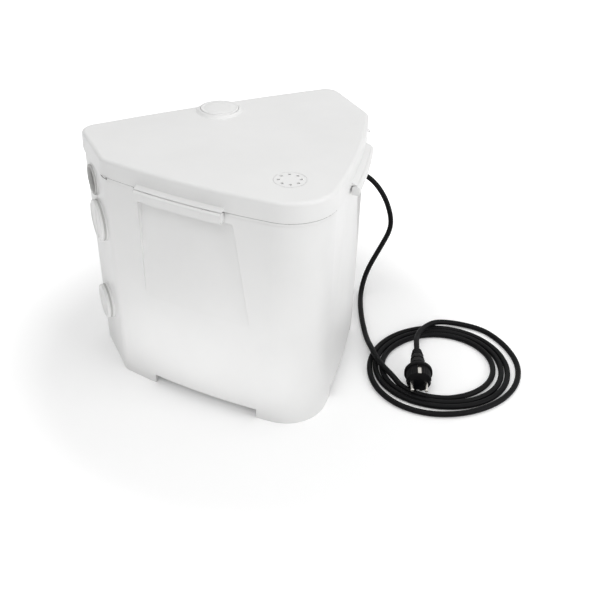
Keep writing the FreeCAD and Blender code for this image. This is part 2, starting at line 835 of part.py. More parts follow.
def make_motor_housing():
    housing = sleeve_on_shaft(motor_radius, motor_radius - motor_wall, seal_plate_top, motor_top)
    outside = on_shaft(motor_radius - motor_wall, seal_plate_top, seal_plate_top + ear_height)
    lugs = [ear.cut(outside) for ear in ears(seal_plate_top, seal_plate_top + ear_height)]
    housing = housing.fuse(lugs).cut(ear_holes(seal_plate_top, seal_plate_top + ear_height))
    inside = on_shaft(motor_radius - motor_wall / 2, motor_top - motor_screw_grip - 4, motor_top)
    for index in range(4):
        spot = motor_screw_spot(index)
        boss = cylinder(ear_radius, motor_screw_grip + 4, spot + V(0, 0, motor_top - motor_screw_grip - 4))
        housing = housing.fuse(boss.common(inside))
        housing = housing.cut(cylinder(screw_radius, motor_screw_grip, spot + V(0, 0, motor_top - motor_screw_grip)))
    return housing


def lead_direction():
    return polar(1, math.radians(motor_lead_angle))


def lead_entry(distance):
    """A point on the line along which the lead enters the motor's wiring chamber."""
    spot = polar(distance, math.radians(motor_lead_angle))
    return V(spot.x, pump_y + spot.y, motor_top + motor_cap_plate + wiring_height / 2 - wiring_wall / 2)


def make_motor_cap():
    top = motor_top + motor_cap_plate
    plate = on_shaft(motor_radius, motor_top, top)
    collar = on_shaft(bearing_radius + bearing_land, upper_bearing_bottom, motor_top)
    chamber = on_shaft(wiring_radius, top, top + wiring_height)
    boss = cylinder(motor_lead_boss, motor_lead_boss_length, lead_entry(wiring_radius - wiring_wall / 2),
                    lead_direction())
    boss = boss.common(box(0, 100, pump_y, 100, top, top + wiring_height))
    cap = plate.fuse([collar, chamber, boss])
    room = on_shaft(wiring_radius - wiring_wall, top, top + wiring_height - wiring_wall)
    wires = cylinder(motor_lead_boss / 2, motor_cap_plate + 1, V(-bearing_radius - bearing_land - 6, pump_y, motor_top))
    entry = cylinder(cord_diameter / 2, motor_lead_boss_length + 10, lead_entry(wiring_radius - wiring_wall - 5),
                     lead_direction())
    bearing_seat = on_shaft(bearing_radius, upper_bearing_bottom, upper_bearing_bottom + bearing_height)
    end_room = on_shaft(shaft_radius + 2, upper_bearing_bottom + bearing_height, motor_top)
    holes = [cylinder(screw_radius, motor_cap_plate, motor_screw_spot(index) + V(0, 0, motor_top))
             for index in range(4)]
    return cap.cut([room, wires, entry, bearing_seat, end_room] + holes)


def screw(spot, top, grip):
    """A pan-head screw that stands upright, its head on the surface at the given height."""
    shank = cylinder(screw_radius, grip, V(spot.x, spot.y, top - grip))
    head = cylinder(screw_head_radius, screw_head_height, V(spot.x, spot.y, top))
    rim = [edge for edge in head.Edges if edge.BoundBox.ZMin > top + screw_head_height - 0.01]
    return head.makeFillet(screw_head_height / 3, rim).fuse(shank)


# Level switch

def make_level_switch():
    bottom = float_low + float_height + float_travel + float_headroom
    x0, x1 = float_x - switch_length / 2, float_x + switch_length / 2
    y0, y1 = float_y - switch_width / 2, float_y + switch_width / 2
    body = box(x0, x1, y0, y1, bottom, bottom + switch_height)
    upright = [edge for edge in body.Edges if edge.BoundBox.ZLength > switch_height - 1]
    body = body.makeFillet(switch_rounding, upright)
    arm = box(x1 - switch_rounding - 1, -motor_radius / 2, pump_y - switch_arm_width / 2,
              pump_y + switch_arm_width / 2, bottom + switch_arm_inset, bottom + switch_height - switch_arm_inset)
    body = body.fuse(arm.cut(on_shaft(motor_radius, bottom, bottom + switch_height)))
    rod_bottom = float_low - stop_height - rod_tail
    rod = cylinder(float_rod_radius, bottom - rod_bottom, V(float_x, float_y, rod_bottom))
    stop = tube(stop_radius, float_rod_radius, stop_height, V(float_x, float_y, float_low - stop_height))
    ball = cylinder(float_radius, float_height, V(float_x, float_y, float_low))
    ball = ball.makeFillet(float_rounding, [edge for edge in ball.Edges if edge.BoundBox.ZLength < 0.01])
    ball = ball.cut(cylinder(float_rod_radius + float_bore_clearance, float_height, V(float_x, float_y, float_low)))
    return body, rod, stop, ball


# Pressure side

seat_top = valve_bottom + valve_seat_height
chamber_top = seat_top + valve_chamber
valve_top = chamber_top + valve_top_plate
flap_pivot = V(0, valve_y - flap_hinge_back, seat_top + flap_hinge_up)


def bend(radius):
    """The quarter bend of the elbow for one radius of its section."""
    start = V(0, valve_y - elbow_radius, nozzle_z)
    centre = start + V(0, 0, elbow_radius)
    turn = Part.Face(Part.Wire(Part.makeCircle(radius, start, V(0, 1, 0))))
    return turn.revolve(centre, V(1, 0, 0), 90)


def elbow_core(radius):
    level = cylinder(radius, valve_y - elbow_radius - nozzle_reach, V(0, nozzle_reach, nozzle_z), V(0, 1, 0))
    upright_bottom = nozzle_z + elbow_radius
    upright = cylinder(radius, valve_bottom - upright_bottom, V(0, valve_y, upright_bottom))
    return level.fuse([bend(radius), upright])


def make_elbow():
    body = elbow_core(pipe_outer).fuse([level_flange(nozzle_reach, nozzle_reach + flange_height),
                                        upright_flange(valve_bottom - flange_height, valve_bottom)])
    return body.cut(elbow_core(pressure_bore)).removeSplitter()


def make_valve_body():
    shell = cylinder(valve_radius, valve_top - valve_bottom, V(0, valve_y, valve_bottom))
    foot = upright_flange(valve_bottom, valve_bottom + flange_height)
    socket_radius = riser_radius + riser_fit + socket_wall
    socket = cylinder(socket_radius, socket_depth + valve_top_plate,
                      V(0, riser_y, chamber_top))
    body = shell.fuse([foot, socket])
    room = cylinder(valve_radius - valve_wall, valve_chamber, V(0, valve_y, seat_top))
    inlet = cylinder(pressure_bore, valve_seat_height, V(0, valve_y, valve_bottom))
    outlet = cylinder(valve_outlet_radius, valve_top_plate, V(0, riser_y, chamber_top))
    seat = cylinder(riser_radius + riser_fit, socket_depth, V(0, riser_y, valve_top))
    pin = cylinder(flap_pin_radius, flap_pin_length, flap_pivot - V(flap_pin_length / 2, 0, 0), V(1, 0, 0))
    screws = [cylinder(flange_screw_radius, flange_height, V(spot.x, valve_y + spot.y, valve_bottom))
              for spot in flange_spots(flange_circle)]
    return body.cut([room, inlet, outlet, seat, pin] + screws)


def make_flap():
    disc = cylinder(flap_radius, flap_thickness, V(0, valve_y, seat_top))
    half = flap_arm_width / 2
    arm = box(-half, half, flap_pivot.y, valve_y, seat_top + flap_thickness / 3, flap_pivot.z)
    eye = cylinder(flap_eye_radius, flap_arm_width, flap_pivot - V(half, 0, 0), V(1, 0, 0))
    pin_hole = cylinder(flap_pin_radius + flap_pin_clearance, flap_arm_width, flap_pivot - V(half, 0, 0), V(1, 0, 0))
    return disc.fuse([arm, eye]).cut(pin_hole)


def flange_screw(base, axis):
    """A short screw with its head against one flange and its shank through both."""
    shank = cylinder(flange_screw_radius, 2 * flange_height, base, axis)
    head = cylinder(flange_screw_head, flange_screw_head_height, base - axis * flange_screw_head_height, axis)
    return head.fuse(shank)


def make_flange_screws():
    upright = [flange_screw(V(spot.x, valve_y + spot.y, valve_bottom - flange_height), UP)
               for spot in flange_spots(flange_circle)]
    level = [flange_screw(V(spot.x, nozzle_reach - flange_height, nozzle_z + spot.y), V(0, 1, 0))
             for spot in flange_spots(flange_circle)]
    return Part.makeCompound(upright + level)


def make_riser():
    return tube(riser_radius, riser_radius - riser_wall, riser_top - valve_top, V(0, riser_y, valve_top))


sleeve_bore = waste_pipe_radius + sleeve_clearance
sleeve_radius = sleeve_bore + sleeve_wall


def make_sleeve():
    """The rubber sleeve: its narrow lower bore holds the riser, the waste pipe stands on the step above."""
    sleeve = cylinder(sleeve_radius, sleeve_top - sleeve_bottom, V(0, riser_y, sleeve_bottom))
    lower = cylinder(riser_radius + sleeve_clearance, sleeve_grip, V(0, riser_y, sleeve_bottom))
    upper = cylinder(sleeve_bore, waste_pipe_depth, V(0, riser_y, riser_top))
    return sleeve.cut([lower, upper])


def make_clamp(z):
    band = cylinder(sleeve_radius + clamp_thickness, clamp_width, V(0, riser_y, z))
    lug = box(sleeve_radius, sleeve_radius + clamp_lug, riser_y - clamp_lug, riser_y + clamp_lug, z, z + clamp_width)
    worm = cylinder(clamp_lug / 2, 2 * clamp_lug + 4,
                    V(sleeve_radius + clamp_lug / 2 + 1, riser_y - clamp_lug - 2, z + clamp_width / 2), V(0, 1, 0))
    return band.fuse([lug, worm]).cut(cylinder(sleeve_radius, clamp_width, V(0, riser_y, z)))


# Cord

cord_radius = cord_diameter / 2
floor_z = cord_radius + cord_floor_gap
over_z = floor_z + cord_diameter + 0.45


def rounded_path(points):
    """Straight runs joined by tangent arcs; each arc is as large as its two runs allow."""
    edges = []
    radii = []
    last = points[0]
    for before, corner, after in zip(points, points[1:], points[2:]):
        arrive = corner - before
        leave = after - corner
        shorter = min(arrive.Length, leave.Length)
        arrive.normalize()
        leave.normalize()
        turn = arrive.getAngle(leave)
        cut = 0.45 * shorter
        radii.append(cut / math.tan(turn / 2))
        start = corner - arrive * cut
        end = corner + leave * cut
        inward = leave - arrive
        inward.normalize()
        middle = corner + inward * (radii[-1] / math.cos(turn / 2) - radii[-1])
        edges.append(Part.LineSegment(last, start).toShape())
        edges.append(Part.Arc(start, middle, end).toShape())
        last = end
    edges.append(Part.LineSegment(last, points[-1]).toShape())
    return Part.Wire(edges), radii


def swept(path, name):
    """The cord's round section along a path, with its volume held against section times length."""
    first = path.Edges[0]
    section = Part.Wire(Part.makeCircle(cord_radius, first.valueAt(first.FirstParameter),
                                        first.tangentAt(first.FirstParameter)))
    solid = path.makePipeShell([section], True, False)
    expected = math.pi * cord_radius ** 2 * path.Length
    print("%s: length %.1f mm, volume ratio %.5f" % (name, path.Length, solid.Volume / expected))
    return solid


def cord_piece(points, name):
    path, radii = rounded_path(points)
    runs = [(b - a).Length for a, b in zip(points, points[1:])]
    print(name + " radii", [round(radius) for radius in radii])
    print(name + " runs", [round(run) for run in runs])
    return swept(path, name)


def coil_angle(turn):
    return math.pi + 2 * math.pi * turn


def coil_point(turn):
    """Centre of the cord after so many turns; the loops bulge to the left and the last one to the right."""
    angle = coil_angle(turn)
    radius = coil_first_radius + coil_pitch * turn
    if math.cos(angle) < 0 and turn > 0.5:
        radius += coil_left_bulge * math.cos(angle) ** 2
    if math.cos(angle) > 0 and turn > 3:
        radius += coil_last_spread * math.cos(angle) ** 2
    if turn == coil_start_turn:
        radius -= coil_start_inset
    return V(coil_x, coil_y, floor_z) + polar(radius, angle)


def coil_tangent(turn):
    """The loops run square to their radius, but for the steady climb outwards."""
    angle = coil_angle(turn)
    radius = (coil_point(turn) - V(coil_x, coil_y, floor_z)).Length
    climb = coil_pitch / (2 * math.pi)
    return (polar(climb, angle) + polar(radius, angle + math.pi / 2)).normalize()


def biarc(start, start_way, end, end_way):
    """Two arcs that leave one point and reach the next with the given directions."""
    span = end - start
    ways = start_way + end_way
    spread = 2 * (1 - start_way.dot(end_way))
    reach = (-span.dot(ways) + math.sqrt(span.dot(ways) ** 2 + spread * span.dot(span))) / spread
    first = start + start_way * reach
    second = end - end_way * reach
    joint = (first + second) / 2
    joint_way = (second - first).normalize()
    return [arc_from(start, start_way, joint), arc_from(joint, joint_way, end)]


def arc_from(start, way, end):
    """An arc that leaves its start in the given direction."""
    chord = end - start
    side = chord - way * chord.dot(way)
    side.normalize()
    radius = chord.dot(chord) / (2 * chord.dot(side))
    centre = start + side * radius
    middle = (start + end) / 2 - centre
    middle.normalize()
    return Part.Arc(start, centre + middle * radius, end).toShape()


def make_coil():
    quarters = round((coil_end_turn - coil_start_turn) * 4)
    edges = []
    for index in range(quarters):
        here = coil_start_turn + index / 4
        there = here + 0.25
        edges += biarc(coil_point(here), coil_tangent(here), coil_point(there), coil_tangent(there))
    path = Part.Wire(edges)
    steps = 60
    spots = []
    for edge in edges:
        for step in range(steps):
            spots.append(edge.valueAt(edge.FirstParameter + (edge.LastParameter - edge.FirstParameter) * step / steps))
    turn_steps = 8 * steps
    gap = min((spots[a] - spots[b]).Length for a in range(0, len(spots), 4)
              for b in range(a + turn_steps // 2, len(spots)))
    print("cord_coil: least gap to itself %.2f mm" % (gap - cord_diameter))
    return swept(path, "cord_coil")


coil_start = coil_point(coil_start_turn)
coil_end = coil_point(coil_end_turn)
relief_tip = V(boss_outer + gland_flange + relief_length, gland_y, gland_z)

# From the gland the cord drops to the floor, runs forward, climbs over the coil and comes down inside it
lead_points = [
    relief_tip,
    relief_tip + V(9, 0, 0),
    V(227.5, 125.5, 189.6),
    V(241, 123.9, 179.6),
    V(255.5, 121.6, 162.5),
    V(267.5, 118.7, 141.5),
    V(275.3, 115.6, 118.5),
    V(277.6, 112.9, 99.5),
    V(272.8, 110.2, 85),
    V(263, 107.2, 72.5),
    V(250.5, 103.4, 57.5),
    V(238, 99.7, 43),
    V(227.5, 95.5, 28),
    V(218.5, 89, 12.5),
    V(208.5, 75.5, floor_z + 0.4),
    V(196.5, 54.5, floor_z),
    V(185, 31, floor_z),
    V(174, 5.5, floor_z),
    V(165, -18.5, floor_z + 0.3),
    V(157.5, -39.5, floor_z + 3.2),
    V(151.3, -60, over_z),
    V(146.6, -81, over_z),
    V(144, -103, over_z),
    V(145.4, -125, floor_z + 3),
    V(150.2, -145.5, floor_z),
    V(158.8, -165.5, floor_z),
    V(171, -182.3, floor_z),
    V(186.5, -193.9, floor_z),
    V(200.5, -199.4, floor_z),
    coil_start - coil_tangent(coil_start_turn) * 14.5,
    coil_start,
]

plug_z = plug_collar_radius + cord_floor_gap
plug_tail = V(plug_x, plug_y, plug_z)
plug_way = polar(1, math.radians(plug_heading))

# From the end of the coil the cord turns back over the loops to the plug inside them
tail_points = [
    coil_end,
    coil_end + coil_tangent(coil_end_turn) * 18,
    V(336.5, -92, floor_z),
    V(325.5, -72, floor_z + 0.4),
    V(309, -55.5, floor_z + 1),
    V(289, -45.5, floor_z + 4),
    V(268, -45, over_z + 1),
    V(248.5, -51, over_z + 3),
    V(232, -60.5, over_z + 5),
    V(219.8, -72, plug_z - 1.6),
    plug_tail - plug_way * 13,
    plug_tail,
]


# Plug, drawn along +X from the tip of its boot and then laid down

def on_plug(shape):
    placed = shape.copy()
    placed.Placement = FreeCAD.Placement(plug_tail, FreeCAD.Rotation(UP, plug_heading)).multiply(placed.Placement)
    return placed


boot_end = plug_boot_length
collar_start = boot_end + plug_grip_length
collar_end = collar_start + plug_collar_thickness
front_end = collar_end + plug_front_length


def make_plug():
    profile = [(0, 0), (plug_boot_tip, 0), (plug_boot_root, boot_end - 2), (plug_boot_root + 1, boot_end),
               (plug_grip_radius - 1, boot_end + plug_shoulder), (plug_grip_radius, boot_end + 2 * plug_shoulder),
               (plug_grip_radius, collar_start - plug_shoulder), (plug_grip_radius + 2, collar_start),
               (plug_collar_radius - 1, collar_start), (plug_collar_radius, collar_start + 1),
               (plug_collar_radius, collar_end - 1), (plug_collar_radius - 1, collar_end),
               (plug_front_radius, collar_end), (plug_front_radius, front_end - 1),
               (plug_front_radius - 1, front_end), (0, front_end)]
    body = revolve_profile(profile, V(0, 0, 0), V(1, 0, 0))
    half = plug_groove_width / 2
    for angle in (0, 90, 180, 270):
        groove = box(collar_end, front_end, -half, half, plug_front_radius - plug_groove_depth, plug_front_radius + 1)
        groove.rotate(V(0, 0, 0), V(1, 0, 0), angle)
        body = body.cut(groove)
    return on_plug(body)


def make_pins():
    pins = []
    for side in (-1, 1):
        pin = cylinder(plug_pin_radius, plug_pin_length, V(front_end, side * plug_pin_spacing / 2, 0), V(1, 0, 0))
        tip = [edge for edge in pin.Edges if edge.BoundBox.XMin > front_end + plug_pin_length - 0.01]
        pins.append(pin.makeFillet(plug_pin_radius / 2, tip))
    return on_plug(Part.makeCompound(pins))


def make_earth_clips():
    clips = []
    half = earth_clip_width / 2
    seat = plug_front_radius - plug_groove_depth
    for angle in (0, 180):
        strip = box(collar_end, front_end - 1, -half, half, seat, seat + earth_clip_thickness)
        strip.rotate(V(0, 0, 0), V(1, 0, 0), angle)
        clips.append(strip)
    return on_plug(Part.makeCompound(clips))


def make_relief():
    root = boss_outer + gland_flange
    profile = [(0, 0), (relief_root_radius, 0), (relief_tip_radius, relief_length), (0, relief_length)]
    return revolve_profile(profile, V(root, gland_y, gland_z), V(1, 0, 0))


def make_motor_lead():
    start = V(boss_outer - gland_neck_length, gland_y, gland_z)
    end = lead_entry(wiring_radius)
    points = [
        start,
        start - V(20, 0, 0),
        start - V(40, 7.5, 1),
        start - V(60, 23, 2),
        start - V(80, 42, 0),
        lead_entry(wiring_radius + motor_lead_boss_length + motor_lead_run) - V(0, 0, 5),
        lead_entry(wiring_radius + motor_lead_boss_length + 16),
        end,
    ]
    return cord_piece(points, "motor_lead")


# Every piece

keep("tank", make_tank())
keep("lid", make_lid())
keep("lid_gasket", make_gasket())
keep_pair("lid_clip", make_clip())
keep_pair("clip_pin", hinge_line(clip_length - 2, pin_radius))
outlet_cap, outlet_seal = make_outlet_cap()
keep("discharge_cap", outlet_cap)
keep("discharge_cap_seal", outlet_seal)
filter_cup, filter_pad = make_filter()
keep("filter_holder", filter_cup)
keep("carbon_filter", filter_pad)
for name, y, z, radius in ports:
    keep_pair("inlet_seal_" + name, make_port_seal(name, y, z, radius))
    if name != "upper":
        keep_pair("inlet_cap_" + name, make_port_cap(name, y, z, radius))
gland, gland_lock = make_gland()
keep("gland_body", gland)
keep("gland_nut", gland_lock)
keep("pump_strainer", make_strainer())
keep("pump_volute", make_volute())
keep("impeller", make_impeller())
keep("seal_plate", make_seal_plate())
keep("shaft_seal", sleeve_on_shaft(shaft_seal_radius, shaft_radius + shaft_clearance,
                                   volute_top + seal_plate_web, seal_plate_top))
shaft_bottom = volute_top - impeller_gap - impeller_plate - vane_height + impeller_nose
keep("motor_shaft", on_shaft(shaft_radius, shaft_bottom, upper_bearing_bottom + bearing_height))
keep("motor_housing", make_motor_housing())
stator_radius = motor_radius - motor_wall - stator_clearance
keep("stator_core", sleeve_on_shaft(stator_radius, stator_bore, stator_bottom, stator_top))
keep("stator_windings", Part.makeCompound([
    sleeve_on_shaft(winding_radius, winding_bore, stator_bottom - winding_height, stator_bottom),
    sleeve_on_shaft(winding_radius, winding_bore, stator_top, stator_top + winding_height)]))
keep("rotor", sleeve_on_shaft(rotor_radius, shaft_radius, stator_bottom, stator_top))
keep("lower_bearing", sleeve_on_shaft(bearing_radius, shaft_radius + shaft_clearance,
                                      seal_plate_top, seal_plate_top + bearing_height))
keep("upper_bearing", sleeve_on_shaft(bearing_radius, shaft_radius + shaft_clearance,
                                      upper_bearing_bottom, upper_bearing_bottom + bearing_height))
keep("motor_cap", make_motor_cap())
cap_plate_top = motor_top + motor_cap_plate
keep("motor_screws", Part.makeCompound([screw(motor_screw_spot(index), cap_plate_top,
                                              motor_cap_plate + motor_screw_grip) for index in range(4)]))
keep("pump_screws", Part.makeCompound([screw(ear_spot(index, ear_circle), pump_screw_top, screw_grip)
                                       for index in range(4)]))
switch_box, float_rod, float_stop, level_float = make_level_switch()
keep("level_switch_box", switch_box)
keep("float_rod", float_rod)
keep("float_stop", float_stop)
keep("level_float", level_float)
keep("discharge_elbow", make_elbow())
keep("check_valve_body", make_valve_body())
keep("check_valve_flap", make_flap())
keep("check_valve_pin", cylinder(flap_pin_radius, flap_pin_length, flap_pivot - V(flap_pin_length / 2, 0, 0),
                                 V(1, 0, 0)))
keep("flange_screws", make_flange_screws())
keep("riser_pipe", make_riser())
keep("discharge_sleeve", make_sleeve())
keep("sleeve_clamps", Part.makeCompound([make_clamp(sleeve_bottom + clamp_low),
                                         make_clamp(sleeve_top - clamp_high - clamp_width)]))
keep("motor_lead", make_motor_lead())
keep("cord_strain_relief", make_relief())
keep("cord_lead", cord_piece(lead_points, "cord_lead"))
keep("cord_coil", make_coil())
keep("cord_tail", cord_piece(tail_points, "cord_tail"))
keep("plug_body", make_plug())
keep("plug_pins", make_pins())
keep("plug_earth_clips", make_earth_clips())

for name, shape in pieces.items():
    shape.exportStep("parts/" + name + ".step")
print("pieces", len(pieces))
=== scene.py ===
import json
import math
import bmesh
import bpy
from mathutils import Matrix, Vector


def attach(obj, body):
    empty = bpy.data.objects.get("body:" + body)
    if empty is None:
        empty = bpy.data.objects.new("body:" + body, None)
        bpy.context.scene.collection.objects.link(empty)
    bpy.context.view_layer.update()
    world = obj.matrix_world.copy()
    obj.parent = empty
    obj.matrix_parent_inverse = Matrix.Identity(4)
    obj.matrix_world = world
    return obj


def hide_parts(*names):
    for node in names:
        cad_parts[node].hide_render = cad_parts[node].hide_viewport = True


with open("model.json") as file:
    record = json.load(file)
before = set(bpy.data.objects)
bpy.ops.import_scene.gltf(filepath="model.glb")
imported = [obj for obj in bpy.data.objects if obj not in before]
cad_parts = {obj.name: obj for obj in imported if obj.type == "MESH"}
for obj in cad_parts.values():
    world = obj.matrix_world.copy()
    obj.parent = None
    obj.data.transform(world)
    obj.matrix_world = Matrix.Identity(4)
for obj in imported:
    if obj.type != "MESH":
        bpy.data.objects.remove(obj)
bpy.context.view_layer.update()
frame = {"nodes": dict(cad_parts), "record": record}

scene = bpy.context.scene
cadNodes = frame["nodes"]
slotOf = {part["node"]: part["material_slot"] for part in frame["record"]["subparts"]}
millimetre = 0.001
sameSpot = 1e-7
sides = {"right": 1, "left": -1}
print("frame loaded:", len(cadNodes), "nodes")


def addObject(name, data):
    item = bpy.data.objects.new(name, data)
    scene.collection.objects.link(item)
    return item


# Camera, at the angle of the photograph

cameraView = {
    "eye": (-0.3954, -0.9265, 0.7866), "forward": (0.36716, 0.74006, -0.56348),
    "up": (0.22528, 0.517, 0.82581), "lens": 53.16, "sensor": 36.0, "clip": (0.05, 30.0),
}


def placeCamera(view):
    data = bpy.data.cameras.new("studioCamera")
    data.lens, data.sensor_width = view["lens"], view["sensor"]
    data.clip_start, data.clip_end = view["clip"]
    camera = addObject("studioCamera", data)
    forward = Vector(view["forward"]).normalized()
    right = forward.cross(Vector(view["up"])).normalized()
    turned = Matrix((right, right.cross(forward), -forward)).transposed().to_4x4()
    turned.translation = Vector(view["eye"])
    camera.matrix_world = turned
    scene.camera = camera


placeCamera(cameraView)
scene.view_settings.view_transform = "Standard"
print("camera placed")


# Helpers for node trees

def feed(tree, socket, source):
    if isinstance(source, bpy.types.NodeSocket):
        tree.links.new(source, socket)
    else:
        socket.default_value = source


def addNode(tree, kind, feeds=None, **settings):
    node = tree.nodes.new(kind)
    for key, value in settings.items():
        setattr(node, key, value)
    for label, source in (feeds or {}).items():
        feed(tree, node.inputs[label], source)
    return node


def blendColours(tree, factor, first, second):
    node = addNode(tree, "ShaderNodeMix", {0: factor}, data_type="RGBA")
    for index, source in ((6, first), (7, second)):
        feed(tree, node.inputs[index], (*source, 1.0) if isinstance(source, tuple) else source)
    return node.outputs[2]


def combine(tree, operation, first, second):
    return addNode(tree, "ShaderNodeMath", {0: first, 1: second}, operation=operation).outputs[0]


def stretch(tree, value, low, high, outLow=0.0, outHigh=1.0):
    feeds = {"Value": value, "From Min": low, "From Max": high, "To Min": outLow, "To Max": outHigh}
    return addNode(tree, "ShaderNodeMapRange", feeds).outputs["Result"]


def vector(tree, **parts):
    return addNode(tree, "ShaderNodeCombineXYZ", parts).outputs["Vector"]


def ownSpot(tree):
    return addNode(tree, "ShaderNodeTexCoord").outputs["Object"]


def noise(tree, spot, scale, detail, roughness, distortion=0.0):
    feeds = {"Vector": spot, "Scale": scale, "Detail": detail, "Roughness": roughness,
             "Distortion": distortion}
    return addNode(tree, "ShaderNodeTexNoise", feeds).outputs["Fac"]


def effectGroup(name, inputs, outputs):
    tree = bpy.data.node_groups.new(name, "ShaderNodeTree")
    for label in inputs:
        tree.interface.new_socket(name=label, in_out="INPUT", socket_type="NodeSocketFloat")
    for label in outputs:
        kind = "NodeSocketVector" if label == "Normal" else "NodeSocketFloat"
        tree.interface.new_socket(name=label, in_out="OUTPUT", socket_type=kind)
    return tree, tree.nodes.new("NodeGroupInput").outputs, tree.nodes.new("NodeGroupOutput").inputs


def placeGroup(tree, group, values):
    node = tree.nodes.new("ShaderNodeGroup")
    node.node_tree = group
    for label, value in values.items():
        node.inputs[label].default_value = value
    return node.outputs


# Effects that several materials share

def makeMouldedGrain():
    tree, given, result = effectGroup("mouldedGrain", ("Grain Scale", "Patch Scale"), ("Height", "Patches"))
    spot = ownSpot(tree)
    fine = noise(tree, spot, given["Grain Scale"], 3.0, 0.6)
    broad = noise(tree, spot, given["Patch Scale"], 4.0, 0.55)
    tree.links.new(fine, result["Height"])
    tree.links.new(stretch(tree, broad, 0.3, 0.7), result["Patches"])
    return tree


def makeRoundedEdges():
    tree, given, result = effectGroup("roundedEdges", ("Radius",), ("Normal", "Edge"))
    rounded = addNode(tree, "ShaderNodeBevel", {"Radius": given["Radius"]}, samples=6)
    plain = addNode(tree, "ShaderNodeNewGeometry").outputs["Normal"]
    facing = addNode(tree, "ShaderNodeVectorMath", {0: rounded.outputs["Normal"], 1: plain},
                     operation="DOT_PRODUCT").outputs["Value"]
    tree.links.new(rounded.outputs["Normal"], result["Normal"])
    tree.links.new(stretch(tree, facing, 0.995, 0.86), result["Edge"])
    return tree


def makeSettledDust():
    tree, given, result = effectGroup("settledDust", ("Amount",), ("Mask",))
    normal = addNode(tree, "ShaderNodeNewGeometry").outputs["Normal"]
    up = addNode(tree, "ShaderNodeSeparateXYZ", {"Vector": normal}).outputs["Z"]
    cloud = noise(tree, ownSpot(tree), 30.0, 5.0, 0.65)
    lying = combine(tree, "MULTIPLY", stretch(tree, up, 0.25, 1.0), stretch(tree, cloud, 0.35, 0.75))
    tree.links.new(combine(tree, "MULTIPLY", lying, given["Amount"]), result["Mask"])
    return tree


def makeDrawnLines():
    sizes = ("Line Scale", "Along X", "Along Y", "Along Z")
    tree, given, result = effectGroup("drawnLines", sizes, ("Lines",))
    size = vector(tree, **{axis: given["Along " + axis] for axis in "XYZ"})
    drawn = addNode(tree, "ShaderNodeMapping", {"Vector": ownSpot(tree), "Scale": size}).outputs["Vector"]
    tree.links.new(noise(tree, drawn, given["Line Scale"], 4.0, 0.7), result["Lines"])
    return tree


mouldedGrain = makeMouldedGrain()
roundedEdges = makeRoundedEdges()
settledDust = makeSettledDust()
drawnLines = makeDrawnLines()


# Materials, one for each finish that the record names

def grey(level):
    return (level,) * 3


# What a finish has where its own row says nothing else
mouldedBase = {"spread": 0.12, "bump": 0.6, "depth": 0.00004, "edge": 0.0005, "wear": 0.2,
               "dust": 0.2, "dustDulls": 0.4, "gloss": 0.5}

finishes = {
    "case_plastic": {
        "colour": (0.83, 0.83, 0.825), "shade": (0.79, 0.79, 0.785), "roughness": 0.36, "spread": 0.07,
        "grain": 1500.0, "depth": 0.00003, "patch": 7.0, "edge": 0.0009, "wear": 0.1,
        "edgeColour": grey(0.9), "dust": 0.05, "dustColour": (0.74, 0.73, 0.71)},
    "pipe_seal_rubber": {
        "colour": (0.58, 0.58, 0.57), "shade": (0.52, 0.52, 0.51), "roughness": 0.6, "spread": 0.1,
        "grain": 1800.0, "patch": 20.0, "wear": 0.05, "edgeColour": (0.65, 0.65, 0.64),
        "dust": 0.1, "dustColour": (0.6, 0.6, 0.58)},
    "seal_rubber": {
        "colour": (0.035, 0.035, 0.036), "shade": grey(0.05), "roughness": 0.62, "grain": 1600.0,
        "depth": 0.00005, "patch": 25.0, "edgeColour": grey(0.09),
        "dust": 0.25, "dustColour": (0.16, 0.155, 0.15)},
    "flap_rubber": {
        "colour": grey(0.05), "shade": (0.075, 0.073, 0.07), "roughness": 0.66, "grain": 1300.0,
        "depth": 0.00006, "patch": 30.0, "edgeColour": grey(0.12), "dustColour": (0.18, 0.17, 0.16)},
    "cord_rubber": {
        "colour": (0.0025, 0.0025, 0.003), "shade": (0.005, 0.005, 0.0055), "roughness": 0.42,
        "gloss": 0.09, "grain": 2200.0, "patch": 35.0, "edge": 0.0004, "wear": 0.1,
        "edgeColour": grey(0.02), "dust": 0.02, "dustColour": grey(0.06)},
    "gland_plastic": {
        "colour": (0.022, 0.022, 0.023), "shade": grey(0.035), "roughness": 0.4, "spread": 0.1,
        "grain": 1500.0, "patch": 30.0, "edge": 0.0006, "wear": 0.3, "edgeColour": grey(0.07),
        "dust": 0.12, "dustColour": grey(0.12)},
    "pump_plastic": {
        "colour": (0.03, 0.031, 0.033), "shade": (0.05, 0.05, 0.052), "roughness": 0.5, "spread": 0.16,
        "grain": 900.0, "depth": 0.00012, "patch": 22.0, "edge": 0.0008, "wear": 0.35,
        "edgeColour": grey(0.1), "dustColour": (0.15, 0.145, 0.14)},
    "float_plastic": {
        "colour": (0.72, 0.17, 0.02), "shade": (0.62, 0.13, 0.015), "roughness": 0.28, "grain": 1100.0,
        "depth": 0.00003, "patch": 16.0, "edge": 0.0008, "wear": 0.3, "edgeColour": (0.8, 0.28, 0.07),
        "dust": 0.15, "dustColour": (0.45, 0.3, 0.2)},
    "pipe_plastic": {
        "colour": (0.17, 0.175, 0.18), "shade": (0.21, 0.215, 0.22), "roughness": 0.42, "grain": 1000.0,
        "depth": 0.00005, "patch": 18.0, "edge": 0.0006, "wear": 0.3, "edgeColour": grey(0.33),
        "dust": 0.15, "dustColour": (0.3, 0.29, 0.28)},
    "cast_plate": {
        "colour": (0.032, 0.033, 0.035), "shade": (0.06, 0.058, 0.056), "roughness": 0.55, "spread": 0.2,
        "grain": 420.0, "depth": 0.00035, "patch": 40.0, "edge": 0.001, "wear": 0.6,
        "edgeColour": (0.2, 0.19, 0.18), "dustColour": (0.16, 0.15, 0.14)},
}

